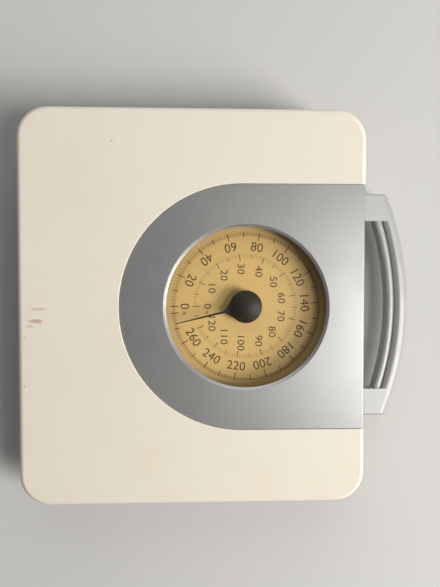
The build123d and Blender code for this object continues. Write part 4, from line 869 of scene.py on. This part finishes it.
@dataclass
class DialFace:
    """The dial plate and everything printed on it, in millimetres and degrees."""

    rim: float = 69.0
    ink_gap: float = 0.01
    ink_depth: float = 0.03
    pound_turn: float = 1.266
    kilo_turn: float = 2.791
    pound_rim: float = 64.6
    kilo_rim: float = 45.2
    outward_from: float = 95.0
    outward_to: float = 262.0
    figure_share: float = 0.70
    letter_space: float = 1.02
    curve_steps: int = 6
    units: tuple[UnitMark, ...] = (
        UnitMark("lb", height=3.2, radius=52.6, side=6.2),
        UnitMark("kg", height=2.6, radius=32.9, side=5.27),
    )
    paper_colour: Colour = (0.780, 0.520, 0.185)
    paper_pale: Colour = (0.800, 0.560, 0.225)
    paper_brown: Colour = (0.560, 0.370, 0.145)
    ink: Ink = Ink("dial_ink", colour=(0.055, 0.035, 0.018), thin=(0.17, 0.11, 0.05))
    rivet: Metal = Metal(
        "dial_rivet_steel", colour=(0.62, 0.60, 0.56), dull=(0.40, 0.38, 0.34), roughness=0.35
    )

    def __post_init__(self) -> None:
        """Takes the dial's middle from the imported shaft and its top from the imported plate."""
        low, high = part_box("dial_shaft")
        self.middle = (low + high) / 2
        self.middle.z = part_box("dial_plate")[1].z

    def spot(self, radius: float, turn: float) -> Vector:
        """A point on the dial.

        Args:
            radius: From the dial's middle, in millimetres.
            turn: Clockwise from the zero, in degrees.

        Returns:
            The point in metres, on the ink's level.
        """
        angle = math.radians(turn)
        offset = Vector((-math.sin(angle), -math.cos(angle), 0.0)) * radius * MM
        return self.middle + offset + Vector((0.0, 0.0, self.ink_gap * MM))

    def mark(self, ring: TickRing, turn: float) -> bpy.types.Object:
        """Models one mark.

        Args:
            ring: The mark's sizes.
            turn: Its turn from the zero, in degrees.

        Returns:
            The mark, which turns about the dial's middle.
        """
        Bench.clear()
        bpy.ops.mesh.primitive_plane_add(size=1.0, location=self.spot(0.0, 0.0))
        mark = bpy.context.object
        Bench.open()
        bpy.ops.transform.resize(value=(ring.width * MM, (ring.outer - ring.inner) * MM, 1.0))
        bpy.ops.transform.translate(value=(0.0, -(ring.outer + ring.inner) / 2 * MM, 0.0))
        Bench.extrude(self.ink_depth * MM)
        Bench.close()
        mark.rotation_euler = (0.0, 0.0, -math.radians(turn))
        return mark

    def ticks(self, ring: TickRing) -> bpy.types.Object:
        """Models the first marks of a ring and repeats them round the dial.

        Args:
            ring: The marks' sizes and places.

        Returns:
            The joined marks.
        """
        marks = [self.mark(ring, turn) for turn in ring.first]
        Bench.pick(marks)
        if len(marks) > 1:
            bpy.ops.object.join()
        mark = bpy.context.object
        bpy.ops.object.transform_apply(location=False, rotation=True, scale=True)
        Bench.clear()
        bpy.ops.object.empty_add(location=mark.location)
        turner = bpy.context.object
        turner.rotation_euler = (0.0, 0.0, -math.radians(ring.step))
        bpy.context.view_layer.update()
        Bench.pick([mark])
        array = mark.modifiers.new("round", "ARRAY")
        array.use_relative_offset = False
        array.use_object_offset = True
        array.offset_object = turner
        array.count = ring.count
        bpy.ops.object.modifier_apply(modifier=array.name)
        bpy.data.objects.remove(turner)
        return Bench.join([mark], ring.name)

    def word(self, text: str, height: float, place: Vector, turn: float = 0.0) -> bpy.types.Object:
        """Prints one word or number.

        Args:
            text: What it says.
            height: The height of a figure, in millimetres.
            place: Its middle.
            turn: Its turn about Z, in radians.

        Returns:
            The word as a thin mesh.
        """
        Bench.clear()
        bpy.ops.object.text_add(location=(0.0, 0.0, 0.0))
        word = bpy.context.object
        word.data.body = text
        word.data.size = height * MM / self.figure_share
        word.data.extrude = self.ink_depth * MM / 2
        word.data.space_character = self.letter_space
        word.data.resolution_u = self.curve_steps
        Bench.pick([word])
        bpy.ops.object.convert(target="MESH")
        word = bpy.context.object
        bpy.ops.object.origin_set(type="ORIGIN_GEOMETRY", center="BOUNDS")
        word.rotation_euler = (0.0, 0.0, turn)
        word.location = place + Vector((0.0, 0.0, self.ink_depth * MM / 2))
        return word

    def figures(self, ring: Figures) -> bpy.types.Object:
        """Prints a ring of numbers.

        Args:
            ring: The numbers' sizes and places.

        Returns:
            The joined numbers.
        """
        words = []
        for number in range(0, ring.last + 1, ring.step):
            turn = ring.place(number)
            lean = 0.0
            if ring.reading is Reading.AROUND:
                outward = self.outward_from < turn < self.outward_to
                lean = math.pi - math.radians(turn) if outward else -math.radians(turn)
            word = self.word(str(number), ring.height, self.spot(ring.radius, turn), lean)
            word.scale.x = ring.stretch
            words.append(word)
        return Bench.join(words, ring.name)

    def tick_rings(self) -> tuple[TickRing, ...]:
        """Lists the rings of marks.

        Returns:
            The pounds' rings, then the kilograms'.
        """
        lb, kg = self.pound_turn, self.kilo_turn
        lb_rim, kg_rim = self.pound_rim, self.kilo_rim
        pounds = [number * lb for number in (2, 4, 6, 8)]
        kilos = [number * kg for number in (1, 2, 3, 4, 6, 7, 8, 9)]
        return (
            TickRing("pound_marks_20", 57.6, lb_rim, width=0.75, first=(0.0,), step=20 * lb, count=15),
            TickRing("pound_marks_10", 59.6, lb_rim, width=0.65, first=(10 * lb,), step=20 * lb, count=14),
            TickRing("pound_marks_2", 62.4, lb_rim, width=0.27, first=pounds, step=10 * lb, count=28),
            TickRing("kilo_marks_10", 39.4, kg_rim, width=0.65, first=(0.0,), step=10 * kg, count=13),
            TickRing("kilo_marks_5", 41.0, kg_rim, width=0.50, first=(5 * kg,), step=10 * kg, count=13),
            TickRing("kilo_marks_1", 42.3, kg_rim, width=0.26, first=kilos, step=10 * kg, count=12),
        )

    def figure_rings(self) -> tuple[Figures, ...]:
        """Lists the rings of numbers.

        Returns:
            The pounds, which lean round the dial, and the kilograms, which stand upright.
        """
        pounds = Figures(
            "pound_figures",
            radius=52.0,
            height=7.6,
            step=20,
            last=260,
            turn=self.pound_turn,
            reading=Reading.AROUND,
        )
        kilos = Figures(
            "kilo_figures",
            radius=32.4,
            height=6.2,
            step=10,
            last=120,
            turn=self.kilo_turn,
            reading=Reading.UPRIGHT,
            stretch=1.1,
            lag=2.8,
        )
        return pounds, kilos

    def unit_words(self) -> bpy.types.Object:
        """Prints the units beside their zeros.

        Returns:
            The joined words.
        """
        words = []
        for unit in self.units:
            place = self.spot(unit.radius, 0.0) + Vector((unit.side * MM, 0.0, 0.0))
            words.append(self.word(unit.text, unit.height, place))
        return Bench.join(words, "unit_marks")

    def build(self) -> None:
        """Prints the dial and dresses its plate."""
        ink = self.ink.material()
        printed = [self.ticks(ring) for ring in self.tick_rings()]
        printed += [self.figures(ring) for ring in self.figure_rings()]
        printed.append(self.unit_words())
        for piece in printed:
            Bench.finish(piece, ink, "base", "pointer_black")
        paper = DialPaper(
            "dial_paper",
            colour=self.paper_colour,
            pale=self.paper_pale,
            brown=self.paper_brown,
            centre=tuple(self.middle),
            rim=self.rim * MM,
        )
        Bench.dress(paper.material(), "dial_plate")
        Bench.dress(self.rivet.material(), "dial_rivets")


@dataclass
class PointerSet:
    """The pointer with its cap, shaft and pinion. Sizes are in millimetres."""

    brim: float = 0.4
    ball_sides: int = 96
    ball_rings: int = 180
    sharp: float = 30.0
    satin: Moulding = Moulding(
        "pointer_black",
        colour=(0.021, 0.016, 0.008),
        dust=(0.06, 0.048, 0.030),
        grain_scale=1500.0,
        roughness=0.42,
        grain_depth=0.00001,
    )
    steel: Metal = Metal("shaft_steel", colour=(0.56, 0.56, 0.57), dull=(0.38, 0.38, 0.39), roughness=0.28)
    brass: Metal = Metal(
        "turned_brass",
        colour=(0.72, 0.53, 0.22),
        dull=(0.52, 0.36, 0.13),
        roughness=0.30,
        grain=Grain.ROUND,
    )

    def dome(self, material: bpy.types.Material) -> None:
        """Models the cap as a low dome on a thin brim, cut from a large ball.

        Args:
            material: The pointer's finish.
        """
        low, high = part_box("pointer_cap")
        brim = low.z + self.brim * MM
        rise = high.z - brim
        radius = (((high.x - low.x) / 2) ** 2 + rise**2) / (2 * rise)
        middle = (low + high) / 2
        middle.z = high.z - radius
        Bench.clear()
        bpy.ops.mesh.primitive_uv_sphere_add(
            segments=self.ball_sides, ring_count=self.ball_rings, radius=radius, location=middle
        )
        cap = bpy.context.object
        Bench.open()
        bpy.ops.mesh.bisect(
            plane_co=(middle.x, middle.y, brim), plane_no=(0.0, 0.0, 1.0), use_fill=True, clear_inner=True
        )
        Bench.extrude(low.z - brim)
        Bench.close()
        Bench.join([cap], "pointer_dome")
        Bench.smooth(self.sharp)
        Bench.finish(cap, material, "pointer", "pointer_black")
        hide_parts("pointer_cap")

    def dress(self) -> None:
        """Dresses the pointer's own pieces."""
        satin = self.satin.material()
        Bench.dress(satin, "pointer", "pointer_cap")
        self.dome(satin)
        Bench.dress(self.steel.material(), "dial_shaft")
        Bench.dress(self.brass.material(), "pinion", "upper_bush", "lower_bush", "rack")


@dataclass
class CarryHandle:
    """The silver carry handle and its screws."""

    lacquer: SilverLacquer = SilverLacquer(
        "handle_lacquer", colour=(0.57, 0.565, 0.555), dull=(0.50, 0.495, 0.485), roughness=0.48, metal=0.5
    )
    steel: Metal = Metal("screw_steel", colour=(0.60, 0.60, 0.61), dull=(0.42, 0.42, 0.43), roughness=0.33)

    def dress(self) -> None:
        """Dresses the handle."""
        Bench.dress(self.lacquer.material(), "handle")
        Bench.dress(self.steel.material(), "handle_screws")


@dataclass
class BaseTray:
    """The base pan with its feet, posts and rivets."""

    paint: Enamel = Enamel(
        "base_paint",
        colour=(0.085, 0.085, 0.088),
        aged=(0.105, 0.103, 0.10),
        grime=(0.17, 0.15, 0.12),
        roughness=0.42,
        grime_height=0.009,
    )
    rubber: Moulding = Moulding(
        "foot_rubber",
        colour=(0.022, 0.022, 0.022),
        dust=(0.09, 0.085, 0.08),
        grain_scale=1100.0,
        roughness=0.8,
        grain_depth=0.00006,
        dustiness=0.45,
    )
    plated: Metal = Metal(
        "post_steel",
        colour=(0.58, 0.58, 0.60),
        dull=(0.40, 0.40, 0.42),
        roughness=0.38,
        grain=Grain.ALONG_Y,
        spangle_scale=220.0,
    )
    rivet: Metal = Metal("rivet_steel", colour=(0.62, 0.62, 0.63), dull=(0.42, 0.42, 0.43), roughness=0.34)

    def dress(self) -> None:
        """Dresses the pan and what is fixed to its floor."""
        Bench.dress(self.paint.material(), "base_pan")
        Bench.dress(self.rubber.material(), *(f"foot_{corner}" for corner in CORNERS))
        Bench.dress(self.plated.material(), *(f"fulcrum_post_{corner}" for corner in CORNERS))
        fixings = ("floor_rivets", "pillar_screws", "bracket_rivets", "guide_rivets")
        Bench.dress(self.rivet.material(), *fixings)


@dataclass
class HookSpring:
    """A spring of round wire with a ring at each end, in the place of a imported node.

    It is made along its own Z axis from two ends, each a ring, a leg and whole turns. The wire, the coil
    and the ring are given by their radii in metres, and lie turns the Z axis to the spring's own.
    """

    node: str
    wire: float
    coil: float
    ring: float
    turns: int
    lie: Place = (0.0, 0.0, 0.0)
    wire_sides: int = 10
    leg_sides: int = 12
    turn_steps: int = 24
    ring_steps: int = 32
    sharp: float = 50.0

    def __post_init__(self) -> None:
        """Reads the spring's two ends from its node's box."""
        low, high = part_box(self.node)
        self.turned = Euler(self.lie).to_matrix()
        self.axis = self.turned @ Vector((0.0, 0.0, 1.0))
        reach = self.axis * ((high - low).dot(self.axis) / 2 - self.wire)
        self.foot = (low + high) / 2 - reach
        self.head = (low + high) / 2 + reach
        self.pitch = (2 * reach.length - 4 * self.ring) / self.turns

    def after(self, turns: int) -> Place:
        """Gives the place on the axis that a number of turns from the foot reaches."""
        return tuple(self.foot + self.axis * (2 * self.ring + self.pitch * turns))

    def coiled(self, turns: int) -> bpy.types.Object:
        """Winds whole turns of wire, closed at both ends.

        Args:
            turns: The number of turns.

        Returns:
            The coil, which starts above the ring.
        """
        Bench.clear()
        bpy.ops.mesh.primitive_circle_add(
            vertices=self.wire_sides,
            radius=self.wire,
            location=(self.coil, 0.0, 2 * self.ring),
            rotation=(QUARTER_TURN, 0.0, 0.0),
        )
        piece = bpy.context.object
        bpy.ops.object.transform_apply(location=True, rotation=True, scale=True)
        winding = piece.modifiers.new("winding", "SCREW")
        winding.axis = "Z"
        winding.screw_offset = self.pitch
        winding.iterations = turns
        winding.steps = self.turn_steps
        bpy.ops.object.modifier_apply(modifier=winding.name)
        Bench.open()
        bpy.ops.mesh.fill_holes(sides=0)
        Bench.close()
        return piece

    def end(self, turns: int, upper: bool) -> bpy.types.Object:
        """Makes one end of the spring and puts it in its place.

        Args:
            turns: The turns that belong to this end.
            upper: Whether it is the head rather than the foot.

        Returns:
            The end.
        """
        coil = self.coiled(turns)
        Bench.clear()
        bpy.ops.mesh.primitive_cylinder_add(
            vertices=self.leg_sides,
            radius=self.wire,
            depth=self.coil + self.wire,
            location=(self.coil / 2, 0.0, 2 * self.ring),
            rotation=(0.0, QUARTER_TURN, 0.0),
        )
        leg = bpy.context.object
        Bench.clear()
        bpy.ops.mesh.primitive_torus_add(
            major_radius=self.ring,
            minor_radius=self.wire,
            major_segments=self.ring_steps,
            minor_segments=self.wire_sides,
            location=(0.0, 0.0, self.ring),
            rotation=(0.0, QUARTER_TURN, 0.0),
        )
        piece = Bench.join([bpy.context.object, leg, coil], f"{self.node}_end")
        Bench.smooth(self.sharp)
        flip = Matrix.Rotation(math.pi if upper else 0.0, 3, "X")
        piece.rotation_euler = (self.turned @ flip).to_euler()
        piece.location = self.head if upper else self.foot
        return piece


@dataclass
class LeverWorks:
    """Levers, crank, movement and springs."""

    plated: Metal = Metal(
        "lever_steel",
        colour=(0.60, 0.60, 0.62),
        dull=(0.43, 0.43, 0.45),
        roughness=0.36,
        grain=Grain.ALONG_Y,
        spangle_scale=170.0,
    )
    pins: Metal = Metal("pin_steel", colour=(0.50, 0.50, 0.51), dull=(0.33, 0.33, 0.34), roughness=0.26)
    wire: Metal = Metal(
        "spring_wire", colour=(0.42, 0.42, 0.43), dull=(0.26, 0.26, 0.27), roughness=0.30, grain=Grain.ROUND
    )
    wheel: Moulding = Moulding(
        "wheel_black",
        colour=(0.03, 0.03, 0.03),
        dust=(0.10, 0.095, 0.09),
        grain_scale=900.0,
        dustiness=0.35,
    )
    guide: Moulding = Moulding(
        "guide_white",
        colour=(0.72, 0.70, 0.64),
        dust=(0.52, 0.48, 0.40),
        grain_scale=700.0,
        grain_depth=0.00003,
    )

    def dress(self) -> None:
        """Dresses the works."""
        levers = ("long_lever", "short_lever_left", "short_lever_right")
        pressings = ("bell_crank", "crank_bracket", "spring_bracket", "spring_hanger")
        movement = ("movement_plate", "movement_pillars")
        pins = [f"{lever}_pins" for lever in levers]
        Bench.dress(self.plated.material(), *levers, *pressings, *movement)
        Bench.dress(self.pins.material(), *pins, "crank_pin", "adjusting_screw")
        Bench.dress(self.wheel.material(), "zero_wheel")
        Bench.dress(self.guide.material(), "rack_guide")
        wire = self.wire.material()
        Bench.dress(wire, "main_spring", "return_spring")
        self.main_spring(wire)
        self.return_spring(wire)

    def main_spring(self, wire: bpy.types.Material) -> None:
        """Makes the main spring in two pieces, a lower one and an upper one.

        Args:
            wire: The spring's finish.
        """
        turns, low_turns = 5, 3
        spring = HookSpring("main_spring", wire=0.7 * MM, coil=4.7 * MM, ring=3.0 * MM, turns=turns)
        lower = Bench.join([spring.end(low_turns, upper=False)], "main_spring_lower")
        upper = Bench.join([spring.end(turns - low_turns, upper=True)], "main_spring_upper")
        Bench.coat(lower, wire, "spring_steel")
        Bench.coat(upper, wire, "spring_steel")
        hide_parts("main_spring")
        spring.after(0)
        spring.after(low_turns)
        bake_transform(lower)
        spring.after(low_turns)
        spring.after(turns)
        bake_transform(upper)

    def return_spring(self, wire: bpy.types.Material) -> None:
        """Makes the return spring, which lies along Y.

        Args:
            wire: The spring's finish.
        """
        turns = 12
        spring = HookSpring(
            "return_spring",
            wire=0.3 * MM,
            coil=1.8 * MM,
            ring=1.9 * MM,
            turns=turns,
            lie=(-QUARTER_TURN, -QUARTER_TURN, 0.0),
        )
        half = turns // 2
        ends = [spring.end(half, upper=False), spring.end(half, upper=True)]
        piece = Bench.join(ends, "return_spring_coil")
        Bench.coat(piece, wire, "spring_steel")
        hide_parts("return_spring")
        spring.after(0)
        spring.after(turns)
        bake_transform(piece)


# Studio


@dataclass(frozen=True)
class Softbox:
    """A square lamp that looks at the platform, mirrored in what is glossy or not."""

    name: str
    place: Place
    size: float
    power: float
    colour: Colour
    mirrored: bool = True

    def build(self, aim: Vector) -> None:
        """Hangs the lamp.

        Args:
            aim: The point it looks at.
        """
        data = bpy.data.lights.new(self.name, "AREA")
        data.shape = "SQUARE"
        data.size = self.size
        data.energy = self.power
        data.color = self.colour
        lamp = bpy.data.objects.new(self.name, data)
        lamp.location = self.place
        lamp.visible_glossy = self.mirrored
        lamp.rotation_euler = (aim - Vector(self.place)).to_track_quat("-Z", "Y").to_euler()
        bpy.context.scene.collection.objects.link(lamp)


@dataclass
class Studio:
    """Floor, lamps, surroundings and the camera, in metres and degrees."""

    floor_half: float = 4.0
    floor_colour: Colour = (0.60, 0.59, 0.57)
    floor_roughness: float = 0.9
    horizon: float = 0.35
    zenith: float = 0.04
    fade_from: float = 0.05
    fade_to: float = 0.95
    eye: Place = (-0.02910, -0.02354, 0.55417)
    tilt: Place = (-2.0014, -2.4585, 90.0289)
    sensor: float = 36.0
    focal_pixels: float = 600.0
    picture_pixels: float = 587.0
    near: float = 0.01
    aim: Place = (0.0, 0.0, 0.04)
    lamps: tuple[Softbox, ...] = (
        Softbox("key", (0.80, 2.02, 1.32), size=1.25, power=50.0, colour=WARM, mirrored=False),
        Softbox("gleam", (0.55, 1.45, 1.12), size=0.6, power=9.0, colour=WARM),
        Softbox("fill", (-1.8, 0.0, 1.05), size=2.0, power=15.0, colour=COOL),
        Softbox("high", (0.18, 0.77, 1.36), size=0.45, power=7.0, colour=WARM),
    )

    def floor(self) -> None:
        """Lays the floor."""
        Bench.clear()
        bpy.ops.mesh.primitive_plane_add(size=2 * self.floor_half, location=(0.0, 0.0, 0.0))
        floor = bpy.context.object
        floor.name = "floor"
        s = Shader("floor_pale")
        s.feed(Base_Color=self.floor_colour, Roughness=self.floor_roughness)
        floor.data.materials.append(s.material)

    def surroundings(self) -> None:
        """Lights the room: pale at the horizon, darker overhead."""
        world = bpy.data.worlds.new("room")
        world.use_nodes = True
        tree = world.node_tree
        background = tree.nodes["Background"]
        way = tree.nodes.new("ShaderNodeTexCoord")
        split = tree.nodes.new("ShaderNodeSeparateXYZ")
        fade = tree.nodes.new("ShaderNodeMapRange")
        fade.interpolation_type = "SMOOTHSTEP"
        levels = (self.fade_from, self.fade_to, self.horizon, self.zenith)
        for socket, level in enumerate(levels, start=1):
            fade.inputs[socket].default_value = level
        tree.links.new(way.outputs["Generated"], split.inputs[0])
        tree.links.new(split.outputs["Z"], fade.inputs[0])
        tree.links.new(fade.outputs[0], background.inputs["Strength"])
        background.inputs["Color"].default_value = (*COOL, 1.0)
        bpy.context.scene.world = world

    def camera(self) -> None:
        """Sets the camera above the platform, as in the photograph."""
        data = bpy.data.cameras.new("camera")
        data.sensor_fit = "VERTICAL"
        data.sensor_height = self.sensor
        data.lens = self.sensor * self.focal_pixels / self.picture_pixels
        data.clip_start = self.near
        eye = bpy.data.objects.new("camera", data)
        eye.location = self.eye
        eye.rotation_euler = [math.radians(angle) for angle in self.tilt]
        bpy.context.scene.collection.objects.link(eye)
        bpy.context.scene.camera = eye

    def build(self) -> None:
        """Builds the studio."""
        self.camera()
        self.floor()
        self.surroundings()
        for lamp in self.lamps:
            lamp.build(Vector(self.aim))
        bpy.context.scene.view_settings.view_transform = "Standard"


def main() -> None:
    """Builds the studio and dresses the scale, one sub-assembly after another."""
    logging.basicConfig(level=logging.INFO, format="%(name)s: %(message)s")
    Studio().build()
    PlatformTop().dress()
    DialPanel().dress()
    DialFace().build()
    PointerSet().dress()
    CarryHandle().dress()
    BaseTray().dress()
    LeverWorks().dress()
    Bench.clear()


if __name__ == "__main__":
    main()
